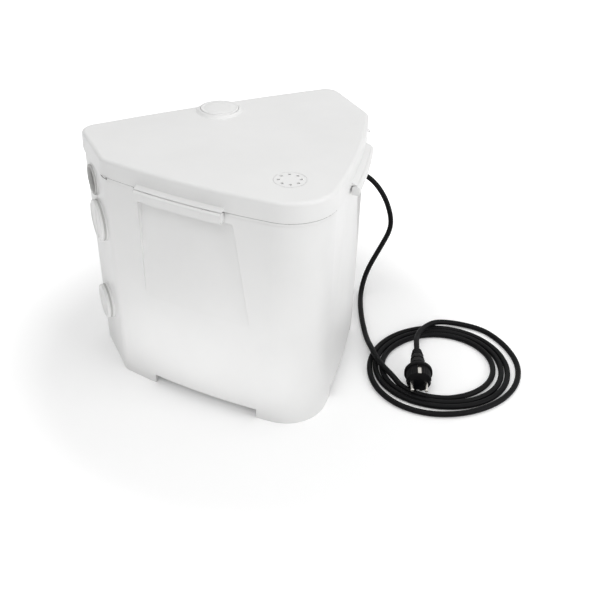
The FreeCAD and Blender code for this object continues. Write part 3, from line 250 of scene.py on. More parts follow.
metalBase = {"bump": 0.7, "depth": 0.00001, "dust": 0.05}

metals = {
    "stainless_steel": {
        "colour": (0.58, 0.58, 0.59), "shade": (0.47, 0.47, 0.48), "roughness": 0.3, "spread": 0.22,
        "lines": 500.0, "along": (0.04, 0.04, 1.0), "depth": 0.00003, "edge": 0.0006, "dust": 0.1},
    "bearing_steel": {
        "colour": (0.52, 0.52, 0.54), "shade": (0.42, 0.42, 0.44), "roughness": 0.18, "spread": 0.12,
        "lines": 900.0, "along": (0.05, 0.05, 1.0), "edge": 0.0004},
    "nickel_contact": {
        "colour": (0.66, 0.64, 0.6), "shade": (0.56, 0.54, 0.5), "roughness": 0.16, "spread": 0.14,
        "lines": 900.0, "along": (1.0, 1.0, 0.2), "edge": 0.0003},
    "core_steel": {
        "colour": (0.2, 0.2, 0.21), "shade": (0.09, 0.09, 0.1), "roughness": 0.38, "spread": 0.2,
        "lines": 260.0, "along": (0.01, 0.01, 8.0), "depth": 0.00025, "edge": 0.0005},
}
metalDust = (0.22, 0.21, 0.2)

# The gap colour is painted shade in the crevices between wire turns
copperLook = {"colour": (0.58, 0.2, 0.06), "gap": (0.12, 0.035, 0.012), "roughness": 0.3,
              "gapRoughness": 0.55, "coat": 0.5, "bands": 260.0, "depth": 0.0006}
fleeceLook = {"colour": (0.02, 0.02, 0.021), "fibre": (0.075, 0.075, 0.078), "roughness": 0.92,
              "hollowRoughness": 0.77, "fibres": 700.0, "depth": 0.0008}


def newMaterial(name, constants):
    material = bpy.data.materials.new(name)
    material.use_nodes = True
    tree = material.node_tree
    shader = tree.nodes["Principled BSDF"]
    for label, value in constants.items():
        shader.inputs[label].default_value = value
    return material, tree, shader


# Links colour, roughness and a bump of (strength, depth, height) over any other normal
def dress(tree, shader, colour, rough, bump, **more):
    strength, depth, height = bump
    feeds = {"Strength": strength, "Distance": depth, "Height": height, **more}
    normal = addNode(tree, "ShaderNodeBump", feeds).outputs["Normal"]
    for label, source in (("Base Color", colour), ("Roughness", rough), ("Normal", normal)):
        tree.links.new(source, shader.inputs[label])


def mouldedFinish(name, look):
    material, tree, shader = newMaterial(name, {"Specular IOR Level": look["gloss"]})
    grain = placeGroup(tree, mouldedGrain, {"Grain Scale": look["grain"], "Patch Scale": look["patch"]})
    edges = placeGroup(tree, roundedEdges, {"Radius": look["edge"]})
    dust = placeGroup(tree, settledDust, {"Amount": look["dust"]})["Mask"]
    patches = grain["Patches"]
    base = blendColours(tree, patches, look["colour"], look["shade"])
    # Rounded edges turn lighter: partly rubbed wear, partly a painted highlight
    wornAndHighlit = combine(tree, "MULTIPLY", edges["Edge"], look["wear"])
    edged = blendColours(tree, wornAndHighlit, base, look["edgeColour"])
    dusty = blendColours(tree, dust, edged, look["dustColour"])
    rough = stretch(tree, patches, 0.0, 1.0, look["roughness"], look["roughness"] + look["spread"])
    dulled = combine(tree, "ADD", rough, combine(tree, "MULTIPLY", dust, look["dustDulls"]))
    dress(tree, shader, dusty, dulled, (look["bump"], look["depth"], grain["Height"]),
          Normal=edges["Normal"])
    return material


def metalFinish(name, look):
    material, tree, shader = newMaterial(name, {"Metallic": 1.0})
    along = {"Along " + axis: value for axis, value in zip("XYZ", look["along"])}
    lines = placeGroup(tree, drawnLines, {"Line Scale": look["lines"], **along})["Lines"]
    edges = placeGroup(tree, roundedEdges, {"Radius": look["edge"]})
    dust = placeGroup(tree, settledDust, {"Amount": look["dust"]})["Mask"]
    base = blendColours(tree, stretch(tree, lines, 0.3, 0.7), look["colour"], look["shade"])
    rough = stretch(tree, lines, 0.25, 0.75, look["roughness"], look["roughness"] + look["spread"])
    dusty = blendColours(tree, dust, base, metalDust)
    dress(tree, shader, dusty, rough, (look["bump"], look["depth"], lines), Normal=edges["Normal"])
    return material


def copperFinish(name, look):
    material, tree, shader = newMaterial(name, {"Metallic": 1.0, "Coat Weight": look["coat"]})
    feeds = {"Vector": ownSpot(tree), "Scale": look["bands"], "Distortion": 3.0, "Detail": 2.0,
             "Detail Scale": 2.0}
    wires = addNode(tree, "ShaderNodeTexWave", feeds, bands_direction="Z").outputs["Fac"]
    # Painted shade: darker colour in the gaps between wire turns
    colour = blendColours(tree, wires, look["gap"], look["colour"])
    rough = stretch(tree, wires, 0.0, 1.0, look["gapRoughness"], look["roughness"])
    dress(tree, shader, colour, rough, (1.0, look["depth"], wires))
    return material


def fleeceFinish(name, look):
    material, tree, shader = newMaterial(name, {})
    felt = noise(tree, ownSpot(tree), look["fibres"], 8.0, 0.8, 2.0)
    colour = blendColours(tree, stretch(tree, felt, 0.45, 0.7), look["colour"], look["fibre"])
    rough = stretch(tree, felt, 0.3, 0.7, look["hollowRoughness"], look["roughness"])
    dress(tree, shader, colour, rough, (1.0, look["depth"], felt))
    return material


materials = {}
for makeFinish, rows, base in ((mouldedFinish, finishes, mouldedBase), (metalFinish, metals, metalBase)):
    for slot, look in rows.items():
        materials[slot] = makeFinish(slot + "_finish", {**base, **look})
materials["copper_wire"] = copperFinish("copper_wire_finish", copperLook)
materials["carbon_pad"] = fleeceFinish("carbon_pad_finish", fleeceLook)
for name, node in cadNodes.items():
    for holder in node.material_slots:
        holder.material = materials[slotOf[name]]
print("materials:", len(materials))


# Helpers for new pieces

def finishPiece(piece, body, slot, *stoodFor):
    if piece.type == "MESH" and not piece.data.materials:
        piece.data.materials.append(materials[slot])
    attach(piece, body)
    if stoodFor:
        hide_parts(*stoodFor)
    return piece


def meshPiece(name, builder, sharpAngle=35.0):
    mesh = bpy.data.meshes.new(name)
    bmesh.ops.recalc_face_normals(builder, faces=builder.faces)
    for face in builder.faces:
        face.smooth = True
    builder.to_mesh(mesh)
    builder.free()
    mesh.set_sharp_from_angle(angle=math.radians(sharpAngle))
    return addObject(name, mesh)


def joinRings(builder, rings, capped=True):
    made = [[builder.verts.new(point) for point in ring] for ring in rings]
    count = len(made[0])
    for near, far in zip(made, made[1:]):
        for k in range(count):
            builder.faces.new((near[k], near[(k + 1) % count], far[(k + 1) % count], far[k]))
    if capped:
        builder.faces.new(list(reversed(made[0])))
        builder.faces.new(made[-1])


def softenEdges(piece, width, segments=3, angle=40.0):
    bevel = piece.modifiers.new("softEdges", "BEVEL")
    bevel.width, bevel.segments = width, segments
    bevel.limit_method, bevel.angle_limit = "ANGLE", math.radians(angle)
    bevel.use_clamp_overlap = True
    piece.modifiers.new("evenShading", "WEIGHTED_NORMAL").keep_sharp = True


# The direction of an axis and of its first radius
turnAxes = {"x": (Vector((1, 0, 0)), Vector((0, 1, 0))), "z": (Vector((0, 0, 1)), Vector((1, 0, 0)))}


# Rings about an axis from (along, radius) pairs; shape(along, radius, angle) may change a radius
def turnedRings(profile, base, axis, side, count=96, shape=None):
    lift = axis.cross(side)
    rings = []
    for along, radius in profile:
        ring = []
        for k in range(count):
            angle = math.tau * k / count
            reach = shape(along, radius, angle) if shape else radius
            ring.append(base + axis * along + side * (reach * math.cos(angle))
                        + lift * (reach * math.sin(angle)))
        rings.append(ring)
    return rings


# A ring from a closed profile, or a disc whose profile starts and ends at the axis
def turnedPiece(name, profile, base, axis, count=96, disc=False, trim=None):
    builder = bmesh.new()
    rings = turnedRings(profile, Vector(base), *turnAxes[axis], count)
    if trim:
        rings = [[trim(point) for point in ring] for ring in rings]
    joinRings(builder, rings if disc else rings + rings[:1], disc)
    if not disc:
        bmesh.ops.remove_doubles(builder, verts=builder.verts, dist=sameSpot)
    return meshPiece(name, builder)


# Profile points about one corner of a turned piece, from (along, radius) steps
def around(along, radius, steps):
    return [(along + stepAlong, radius + stepOut) for stepAlong, stepOut in steps]


# Mains cord: one line from the gland to the plug

cordLook = {
    "diameter": 0.008, "length": 2.62,
    "coilCentre": (0.229, -0.131), "coilFirstRadius": 0.0692, "coilPitch": 0.0087,
    "coilFrom": 0.25, "coilTo": 3.5, "pointsPerTurn": 16, "coilLeftBulge": 0.0143, "coilLastSpread": 0.0092,
    "coilDrifts": ((3.08, 0.11, 0.0028), (2.95, 0.08, -0.0025), (2.1, 0.13, -0.0062),
                   (1.1, 0.14, -0.006), (0.28, 0.16, -0.0055)),
    "plugLead": (-0.011, 0.01),
}

# The cord's height on the floor and over another strand
floorZ, overZ = 0.00405, 0.0125
plugTail = Vector((0.2056, -0.095, 0.01955))
plugHeading = math.radians(-119.5)
plugWay = Vector((math.cos(plugHeading), math.sin(plugHeading), 0.0))

leadRoute = [
    (0.207, 0.126, 0.193), (0.216, 0.126, 0.193), (0.2275, 0.1255, 0.1896), (0.241, 0.1239, 0.1796),
    (0.2555, 0.1216, 0.1625), (0.2675, 0.1187, 0.1415), (0.2753, 0.1156, 0.1185), (0.2776, 0.1129, 0.0995),
    (0.2728, 0.1102, 0.085), (0.263, 0.1072, 0.0725), (0.2505, 0.1034, 0.0575), (0.238, 0.0997, 0.043),
    (0.2275, 0.0955, 0.028), (0.2185, 0.089, 0.0125), (0.2085, 0.0755, floorZ + 0.0004),
    (0.1965, 0.0545, floorZ), (0.185, 0.031, floorZ), (0.174, 0.0055, floorZ),
    (0.165, -0.0185, floorZ + 0.0003), (0.1575, -0.0395, floorZ + 0.0032), (0.1513, -0.06, overZ),
    (0.1466, -0.081, overZ), (0.1443, -0.103, overZ + 0.0005), (0.1482, -0.125, floorZ + 0.0064),
    (0.1516, -0.1452, floorZ), (0.161, -0.1642, floorZ), (0.1742, -0.1788, floorZ),
    (0.1895, -0.1891, floorZ), (0.2028, -0.1947, floorZ),
]
tailRoute = [
    (0.3365, -0.092, floorZ), (0.3255, -0.072, floorZ + 0.0004), (0.309, -0.0555, floorZ + 0.001),
    (0.289, -0.0455, floorZ + 0.004), (0.268, -0.045, overZ + 0.001), (0.2485, -0.051, overZ + 0.003),
    (0.232, -0.0605, overZ + 0.005), (0.2198, -0.072, 0.01795),
]


# The loops bulge to the left, the last one to the right, and some drift apart
def coilPoint(turn, look):
    angle = math.pi + math.tau * turn
    radius = look["coilFirstRadius"] + look["coilPitch"] * turn
    if math.cos(angle) < 0 and turn > 0.5:
        radius += look["coilLeftBulge"] * math.cos(angle) ** 2
    if math.cos(angle) > 0 and turn > 3:
        radius += look["coilLastSpread"] * math.cos(angle) ** 2
    for middle, width, drift in look["coilDrifts"]:
        radius += drift * math.exp(-((turn - middle) / width) ** 2)
    radius /= math.cos(math.pi / look["pointsPerTurn"])
    x, y = look["coilCentre"]
    return (x + radius * math.cos(angle), y + radius * math.sin(angle), floorZ)


def makeCord(look):
    steps = round((look["coilTo"] - look["coilFrom"]) * look["pointsPerTurn"])
    coil = [coilPoint(look["coilFrom"] + k / look["pointsPerTurn"], look) for k in range(steps + 1)]
    intoPlug = [tuple(plugTail + plugWay * along) for along in look["plugLead"]]
    points = leadRoute + coil + tailRoute + intoPlug
    curve = bpy.data.curves.new("mainsCord", "CURVE")
    curve.dimensions = "3D"
    curve.bevel_depth = look["diameter"] / 2
    curve.bevel_resolution = 5
    curve.resolution_u = 10
    curve.use_fill_caps = True
    spline = curve.splines.new("NURBS")
    spline.points.add(len(points) - 1)
    for point, place in zip(spline.points, points):
        point.co = (*place, 1.0)
    spline.order_u = 3
    spline.use_endpoint_u = True
    curve.materials.append(materials["cord_rubber"])
    return addObject("mainsCord", curve)


mainsCord = makeCord(cordLook)
print("cord laid")


# Tapered strain relief with soft ribs, round the cord where it leaves the gland

reliefLook = {"base": (0.187, 0.126, 0.193), "length": 0.02, "root": 0.0075, "tip": 0.0049, "ribs": 5,
              "ribHeight": 0.0005, "ribSteps": 8, "rootEdge": ((0, -0.0004), (0.0003, 0)),
              "tipEdge": ((-0.0002, 0), (0, -0.0004)), "facets": 48}


def makeRelief(look):
    profile = around(0.0, look["root"], look["rootEdge"])
    steps = look["ribs"] * look["ribSteps"]
    for k in range(1, steps):
        share = k / steps
        radius = look["root"] + (look["tip"] - look["root"]) * share
        wave = 0.5 * (1 - math.cos(math.tau * look["ribs"] * share))
        profile.append((look["length"] * share, radius - look["ribHeight"] * wave))
    profile += around(look["length"], look["tip"], look["tipEdge"])
    builder = bmesh.new()
    joinRings(builder, turnedRings(profile, Vector(look["base"]), *turnAxes["x"], look["facets"]))
    return meshPiece("reliefSleeve", builder)


finishPiece(makeRelief(reliefLook), "station", "cord_rubber", "cord_strain_relief")


# Mains plug: stepped boot, waisted grip, domed collar and a front with four guide grooves
# A step's shape is (share of its length, share of its rise, radius added)

plugLook = {
    "bootStart": 0.008, "boot": 0.014, "bootTip": 0.0053, "bootRoot": 0.008, "bootSteps": 3,
    "bootEdge": ((0, -0.0008), (0.0004, 0)),
    "bootShape": ((0.18, 0, 0), (0.34, 1, 0.00048), (0.55, 1, 0.0008), (0.82, 1, 0.00056), (0.96, 1, 0)),
    "grip": 0.032, "gripSteps": ((0.0088, 0.0104), (0.01, 0.0116), (0.011, 0.0124)),
    "gripShape": ((0.04, 0, -0.0008), (0.12, 0, 0), (0.3, 0.3, 0), (0.5, 0.5, 0), (0.7, 0.7, 0),
                  (0.86, 1, 0), (0.95, 1, -0.0004)),
    "flute": 0.0006, "flutes": 9, "fluteFrom": 0.001, "fluteTo": 0.003,
    "collar": 0.006, "collarRadius": 0.0195,
    "collarRise": ((-0.0002, -0.0045), (0, -0.002), (0.0004, -0.0008), (0.0014, -0.0001), (0.0024, 0)),
    "collarFall": ((-0.0012, 0), (-0.0004, -0.0003), (-0.0001, -0.001)),
    "front": 0.017, "frontRadius": 0.0172, "groove": 0.00275, "grooveDepth": 0.0031, "frontFlute": 0.0006,
    "frontRise": ((0, 0.0006), (0.0002, 0), (0.0006, 0)),
    "frontFall": ((-0.0012, 0), (-0.0004, -0.0003), (0, -0.0012)), "facets": 144,
}


def steppedProfile(start, length, steps, shape):
    span = length / len(steps)
    return [(start + span * (k + share), low + (high - low) * rise + extra)
            for k, (low, high) in enumerate(steps) for share, rise, extra in shape]


def makePlug(look):
    bootStart, tip = look["bootStart"], look["bootTip"]
    gripStart = bootStart + look["boot"]
    gripEnd = gripStart + look["grip"]
    collarEnd = gripEnd + look["collar"]
    rise = (look["bootRoot"] - tip) / look["bootSteps"]
    bootSteps = [(tip + rise * k, tip + rise * (k + 1)) for k in range(look["bootSteps"])]
    profile = around(bootStart, tip, look["bootEdge"])
    profile += steppedProfile(bootStart, look["boot"], bootSteps, look["bootShape"])
    profile += steppedProfile(gripStart, look["grip"], look["gripSteps"], look["gripShape"])
    profile += around(gripEnd, look["collarRadius"], look["collarRise"])
    profile += around(collarEnd, look["collarRadius"], look["collarFall"])
    profile += around(collarEnd, look["frontRadius"], look["frontRise"])
    profile += around(collarEnd + look["front"], look["frontRadius"], look["frontFall"])

    def shape(along, radius, angle):
        if along > collarEnd + 0.0001:
            nearest = abs((angle + math.pi / 4) % (math.pi / 2) - math.pi / 4)
            if nearest * radius < look["groove"]:
                return radius - look["grooveDepth"]
            return radius - look["frontFlute"] * (0.5 - 0.5 * math.cos(4 * look["flutes"] * angle))
        if gripStart + look["fluteFrom"] <= along <= gripEnd - look["fluteTo"]:
            return radius - look["flute"] * (0.5 - 0.5 * math.cos(look["flutes"] * angle))
        return radius

    builder = bmesh.new()
    side = Vector((0, 0, 1)).cross(plugWay)
    joinRings(builder, turnedRings(profile, plugTail, plugWay, side, look["facets"], shape))
    return meshPiece("plugShell", builder)


plugShell = finishPiece(makePlug(plugLook), "station", "cord_rubber", "plug_body")
finishPiece(mainsCord, "station", "cord_rubber", "cord_lead", "cord_coil", "cord_tail")
print("plug made")


# Rings of equal pieces, by geometry nodes: one piece is built once and turned about the ring's axis

smallRound = {"rim": 28, "wire": 8, "head": 28, "shank": 16, "socket": 6}


def moved(tree, geometry, **ways):
    return addNode(tree, "GeometryNodeTransform", {"Geometry": geometry, **ways}).outputs["Geometry"]


def cylinder(tree, corners, radius, depth):
    feeds = {"Vertices": corners, "Radius": radius, "Depth": depth}
    return addNode(tree, "GeometryNodeMeshCylinder", feeds).outputs["Mesh"]


def ringTree(name, makeOne, sizes):
    tree = bpy.data.node_groups.new(name, "GeometryNodeTree")
    tree.interface.new_socket(name="Geometry", in_out="OUTPUT", socket_type="NodeSocketGeometry")
    kinds = {"Count": "NodeSocketInt", "Centre": "NodeSocketVector", "Tilt": "NodeSocketVector",
             "Finish": "NodeSocketMaterial"}
    for label in ("Count", "Radius", "First Turn", "Centre", "Tilt", *sizes, "Finish"):
        kind = kinds.get(label, "NodeSocketFloat")
        tree.interface.new_socket(name=label, in_out="INPUT", socket_type=kind)
    start, end = tree.nodes.new("NodeGroupInput"), tree.nodes.new("NodeGroupOutput")
    value = start.outputs
    step = combine(tree, "DIVIDE", math.tau, value["Count"])
    index = addNode(tree, "GeometryNodeInputIndex").outputs["Index"]
    turn = combine(tree, "ADD", combine(tree, "MULTIPLY", index, step), value["First Turn"])
    one = moved(tree, makeOne(tree, value), Translation=vector(tree, X=value["Radius"]))
    spots = addNode(tree, "GeometryNodePoints", {"Count": value["Count"]}).outputs[0]
    feeds = {"Points": spots, "Instance": one, "Rotation": vector(tree, Z=turn)}
    spread = addNode(tree, "GeometryNodeInstanceOnPoints", feeds).outputs["Instances"]
    placed = moved(tree, spread, Translation=value["Centre"], Rotation=value["Tilt"])
    real = addNode(tree, "GeometryNodeRealizeInstances", {"Geometry": placed}).outputs["Geometry"]
    painted = addNode(tree, "GeometryNodeSetMaterial", {"Geometry": real, "Material": value["Finish"]})
    tree.links.new(painted.outputs["Geometry"], end.inputs["Geometry"])
    return tree


def circle(tree, corners, radius):
    feeds = {"Resolution": corners, "Radius": radius}
    return addNode(tree, "GeometryNodeCurvePrimitiveCircle", feeds).outputs["Curve"]


def roundRim(tree, value):
    path = circle(tree, smallRound["rim"], value["Rim Radius"])
    wire = circle(tree, smallRound["wire"], value["Rim Wire"])
    feeds = {"Curve": path, "Profile Curve": wire}
    return addNode(tree, "GeometryNodeCurveToMesh", feeds).outputs["Mesh"]


def block(tree, value):
    size = vector(tree, X=value["Depth"], Y=value["Width"], Z=value["Height"])
    return addNode(tree, "GeometryNodeMeshCube", {"Size": size}).outputs["Mesh"]


def socketScrew(tree, value):
    height, grip = value["Head Height"], value["Grip"]
    up = vector(tree, Z=combine(tree, "MULTIPLY", height, 0.5))
    down = vector(tree, Z=combine(tree, "MULTIPLY", grip, -0.5))
    head = cylinder(tree, smallRound["head"], value["Head Radius"], height)
    hexagon = cylinder(tree, smallRound["socket"], value["Socket Radius"], height)
    raised = moved(tree, hexagon, Translation=up)
    hollowed = addNode(tree, "GeometryNodeMeshBoolean", {"Mesh 1": head, "Mesh 2": raised},
                       operation="DIFFERENCE", solver="EXACT").outputs["Mesh"]
    shank = cylinder(tree, smallRound["shank"], value["Shank Radius"], grip)
    both = tree.nodes.new("GeometryNodeJoinGeometry")
    tree.links.new(moved(tree, hollowed, Translation=up), both.inputs[0])
    tree.links.new(moved(tree, shank, Translation=down), both.inputs[0])
    return both.outputs[0]


ringTrees = {
    "rims": ringTree("ringOfRims", roundRim, ("Rim Radius", "Rim Wire")),
    "blocks": ringTree("ringOfBlocks", block, ("Depth", "Width", "Height")),
    "screws": ringTree("ringOfScrews", socketScrew,
                       ("Head Radius", "Head Height", "Socket Radius", "Shank Radius", "Grip")),
}


# Runs ring trees on an empty mesh, joined into one plain mesh
def placeRings(name, kind, body, slot, rings, *stoodFor):
    tree = ringTrees[kind]
    builder = bmesh.new()
    for values in rings:
        holder = addObject(name + "Maker", bpy.data.meshes.new(name + "Maker"))
        modifier = holder.modifiers.new("maker", "NODES")
        modifier.node_group = tree
        for item in tree.interface.items_tree:
            if item.in_out == "INPUT" and item.name == "Finish":
                modifier[item.identifier] = materials[slot]
            elif item.in_out == "INPUT" and item.name in values:
                modifier[item.identifier] = values[item.name]
        bpy.context.view_layer.update()
        ready = holder.evaluated_get(bpy.context.evaluated_depsgraph_get())
        plain = bpy.data.meshes.new_from_object(ready)
        builder.from_mesh(plain)
        holder.modifiers.remove(modifier)
        bpy.data.objects.remove(holder)
        bpy.data.meshes.remove(plain)
    bmesh.ops.remove_doubles(builder, verts=builder.verts, dist=sameSpot)
    finishPiece(meshPiece(name, builder), body, slot, *stoodFor)


# Vent: a fine rim round each hole and a ring laid in the groove about them

ventLook = {"holes": 8, "ring": 0.0133, "rim": 0.0019, "rimWire": 0.0003, "y": -0.095, "z": 0.32602,
            "grooveIn": 0.0191, "grooveOut": 0.0199, "grooveFloor": 0.3253, "inlayTop": 0.32578}


def makeVent(look):
    placeRings("ventRims", "rims", "lid_group", "case_plastic", [
        {"Count": look["holes"], "Radius": look["ring"], "First Turn": math.pi / look["holes"],
         "Centre": (0.0, look["y"], look["z"]), "Rim Radius": look["rim"], "Rim Wire": look["rimWire"]}])
    inner, outer = look["grooveIn"], look["grooveOut"]
    floor, top = look["grooveFloor"], look["inlayTop"]
    inlay = turnedPiece("ventInlay", [(floor, inner), (floor, outer), (top, outer), (top, inner)],
                        (0, look["y"], 0), "z")
    finishPiece(inlay, "lid_group", "case_plastic")


makeVent(ventLook)
print("vent finished")


# Round caps and rubber seals of the pipe entries, drawn outwards from the boss on each side wall
# An entry is (y, z, outer radius, bore radius)

entryLook = {
    "bossFace": 0.184, "bossBack": 0.17585, "flange": 0.0025, "neck": 0.0018, "lip": 0.0015,
    "lipHeight": 0.002, "reach": 0.012, "wall": 0.0025, "head": 0.004, "recess": 0.0012, "rim": 0.004,
    "clearance": 0.0002, "grip": 0.0046, "gripSunk": 0.0006, "gripPast": 0.0002, "gripLow": 0.0001,
    "round": 0.0007, "ceiling": 0.0002, "draft": 0.0003, "crown": (0.0002, 0.0004), "pole": 0.0008,
    "bevel": 0.0005, "facets": 128,
    "bead": ((-0.0012, 0), (-0.0017, -0.0002), (-0.0022, 0)),
    "skirtEdge": ((0, -0.0005), (0.0008, 0)), "seatEdge": ((0, -0.0004), (0.0003, 0)),
    "capEdge": ((-0.0016, 0), (-0.0008, -0.0002), (-0.0003, -0.0006), (0, -0.0014)),
    "rimInside": ((0, 0.0008), (-0.0003, 0.0002)),
    "recessEdge": ((0.0002, -0.0002), (0, -0.0009)),
    "entries": {"upper": (0.104, 0.2705, 0.02, 0.0161), "middle": (0.086, 0.221, 0.0275, 0.0217),
                "lower": (0.099, 0.087, 0.024, 0.0182)},
}


def sealProfile(look, radius, bore):
    inner, outer, face = look["bossBack"], look["bossFace"], look["bossFace"] + look["flange"]
    neck, soft = bore + look["neck"], look["round"]
    lip, back = neck + look["lip"], inner - look["lipHeight"]
    profile = [(back, bore), (back, lip - soft), (back + soft, lip), (inner, lip), (inner, neck),
               (outer, neck), (outer, radius - soft / 2), (outer + soft / 2, radius),
               (face - soft * 1.4, radius), (face - soft * 0.4, radius - soft * 0.5),
               (face, radius - soft * 1.6), (face, bore + soft * 2.2),
               (face - soft * 0.5, bore + soft * 0.7), (face - soft * 1.6, bore)]
    return profile + around(outer, bore, look["bead"])


def capProfile(look, radius, bore):
    seat, pole, soft = look["bossFace"] + look["flange"], look["pole"], look["round"]
    top, outer, end = seat + look["head"], bore - look["clearance"], seat - look["reach"]
    inside, floor, under = outer - look["wall"], top - look["recess"], seat - look["ceiling"]
    halfway, highest = look["crown"]
    profile = [(under, pole), (under, inside - soft), (under - soft, inside), (end, inside + look["draft"])]
    profile += around(end, outer, look["skirtEdge"]) + [(seat, outer)]
    profile += around(seat, radius, look["seatEdge"])
    profile += around(top, radius, look["capEdge"])
    profile += around(top, radius - look["rim"], look["rimInside"])
    profile += around(floor, radius - look["rim"], look["recessEdge"])
    return profile + [(floor + halfway, radius / 2), (floor + highest, pole)]


def addBar(builder, low, high):
    corners = [builder.verts.new((x, y, z)) for x in (low[0], high[0]) for y in (low[1], high[1])
               for z in (low[2], high[2])]
    for face in ((0, 1, 3, 2), (4, 6, 7, 5), (0, 4, 5, 1), (2, 3, 7, 6), (0, 2, 6, 4), (1, 5, 7, 3)):
        builder.faces.new([corners[k] for k in face])


def makeEntryCap(name, side, look, y, z, radius, bore):
    builder = bmesh.new()
    profile = capProfile(look, radius, bore)
    joinRings(builder, turnedRings(profile, Vector((0, y, z)), *turnAxes["x"], look["facets"]))
    top = look["bossFace"] + look["flange"] + look["head"]
    reach, half = radius - look["rim"] + look["gripPast"], look["grip"] / 2
    addBar(builder, (top - look["recess"] - look["gripSunk"], y - half, z - reach),
           (top - look["gripLow"], y + half, z + reach))
    for vertex in builder.verts:
        vertex.co.x *= side
    cap = meshPiece(name, builder)
    softenEdges(cap, look["bevel"], 2)
    return cap


def makeEntries(look):
    for sideName, side in sides.items():
        for entry, (y, z, radius, bore) in look["entries"].items():
            profile = [(along * side, reach) for along, reach in sealProfile(look, radius, bore)]
            seal = turnedPiece(f"{entry}Seal_{sideName}", profile, (0, y, z), "x", look["facets"])
            finishPiece(seal, "station", "pipe_seal_rubber", f"inlet_seal_{entry}_{sideName}")
            if entry != "upper":
                cap = makeEntryCap(f"{entry}Cap_{sideName}", side, look, y, z, radius, bore)
                finishPiece(cap, f"{sideName}_{entry}_cap", "case_plastic", f"inlet_cap_{entry}_{sideName}")


makeEntries(entryLook)
print("pipe entries finished")


# Outlet cap in the lid and the low collar round it, cut flat along the lid's back edge

outletLook = {
    "y": 0.128, "seat": 0.3264, "radius": 0.0252, "head": 0.004, "skirt": 0.009, "skirtOut": 0.0195,
    "skirtIn": 0.0155, "ceiling": 0.0004, "draft": 0.0004, "crown": (0.0001, 0.0002), "pole": 0.0008,
    "facets": 160, "ceilingEdge": ((-0.0004, -0.001), (-0.0012, 0)),
    "skirtEdge": ((0, -0.0006), (0.0008, 0)), "seatEdge": ((0, -0.0004), (0.0004, 0)),
    "ringGroove": ((-0.0057, 0), (-0.0057, -0.0022), (-0.0033, -0.0022), (-0.0033, 0), (0, 0)),
    "capEdge": ((-0.0013, 0), (-0.0006, -0.0002), (-0.0001, -0.0008), (0, -0.0016), (-0.0001, -0.003),
                (-0.0004, -0.0036), (-0.0004, -0.0042), (-0.0001, -0.0048)),
    "collarIn": 0.0257, "collarOut": 0.0316, "collarRise": 0.003, "collarFoot": 0.3256, "collarSteps": 10,
    "collarSunk": 0.0004, "collarFlat": 0.0007, "collarGap": 0.0006, "collarRound": 0.0003,
    "flatBack": 0.1541,
}


def makeOutletCap(look):
    seat, radius, outer, inner = look["seat"], look["radius"], look["skirtOut"], look["skirtIn"]
    top, end, pole = seat + look["head"], seat - look["skirt"], look["pole"]
    halfway, highest = look["crown"]
    profile = [(seat - look["ceiling"], pole)] + around(seat, inner, look["ceilingEdge"])
    profile += [(end, inner + look["draft"])] + around(end, outer, look["skirtEdge"])
    profile += around(seat, outer, look["ringGroove"]) + around(seat, radius, look["seatEdge"])
    profile += around(top, radius, look["capEdge"])
    profile += [(top + halfway, radius / 2), (top + highest, pole)]
    return turnedPiece("outletCap", profile, (0, look["y"], 0), "z", look["facets"], disc=True)


def makeOutletCollar(look):
    foot, rise, inner, outer = look["seat"], look["collarRise"], look["collarIn"], look["collarOut"]
    low, sunk, flat = look["collarFoot"], look["collarSunk"], look["collarFlat"]
    gap, soft = look["collarGap"], look["collarRound"]
    profile = [(low, outer), (low, inner + gap), (foot, inner + gap), (foot, inner),
               (foot + rise - soft, inner), (foot + rise, inner + soft)]
    for k in range(1, look["collarSteps"] + 1):
        share = k / look["collarSteps"]
        profile.append((foot - sunk + (rise + sunk) * 0.5 * (1 + math.cos(math.pi * share)),
                        inner + flat + (outer - inner - flat) * share))

    def trim(point):
        return Vector((point.x, min(point.y, look["flatBack"]), point.z))

    return turnedPiece("outletCollar", profile, (0, look["y"], 0), "z", look["facets"], trim=trim)


finishPiece(makeOutletCap(outletLook), "outlet_cap", "case_plastic", "discharge_cap")
finishPiece(makeOutletCollar(outletLook), "lid_group", "case_plastic")
print("outlet finished")


# Side clips: bowed strips that follow the case's fronts, with a hooked skirt below

casePlan = {"halfWidth": 0.185, "noseY": -0.155, "shoulderY": 0.0485, "shoulderRadius": 0.024,
            "frontRadius": 0.913, "noseRadius": 0.06}
clipLook = {"middle": 0.11, "half": 0.06, "bottom": 0.2895, "slotAt": 0.04, "slotHalf": 0.0044,
            "hollowHalf": 0.032, "hookHalf": 0.045, "step": 0.003, "bevel": 0.0006, "hoodBevel": 0.0003,
            "merge": 1e-6}


def frontArc(plan):
    noseCentre = Vector((0, plan["noseY"] + plan["noseRadius"]))
    shoulder = Vector((plan["halfWidth"], plan["shoulderY"]))
    gap = noseCentre - shoulder
    near, far = plan["frontRadius"], plan["frontRadius"] - plan["noseRadius"]
    along = (near ** 2 - far ** 2 + gap.length ** 2) / (2 * gap.length)
    across = math.sqrt(near ** 2 - along ** 2)
    sideways = Vector((-gap.y, gap.x)) / gap.length
    foot = shoulder + gap * (along / gap.length)
    centre = min((foot + sideways * across, foot - sideways * across), key=lambda spot: spot.x)
    x = plan["halfWidth"] - plan["shoulderRadius"] - centre.x
    y = math.copysign(math.sqrt((near - plan["shoulderRadius"]) ** 2 - x ** 2),
                      plan["shoulderY"] - centre.y)
    return centre, near, math.atan2(y, x)


frontCentre, frontReach, frontTurn = frontArc(casePlan)


def onFront(along, out, z, side):
    angle = frontTurn - along / frontReach
    return Vector((side * (frontCentre.x + (frontReach + out) * math.cos(angle)),
                   frontCentre.y + (frontReach + out) * math.sin(angle), z))


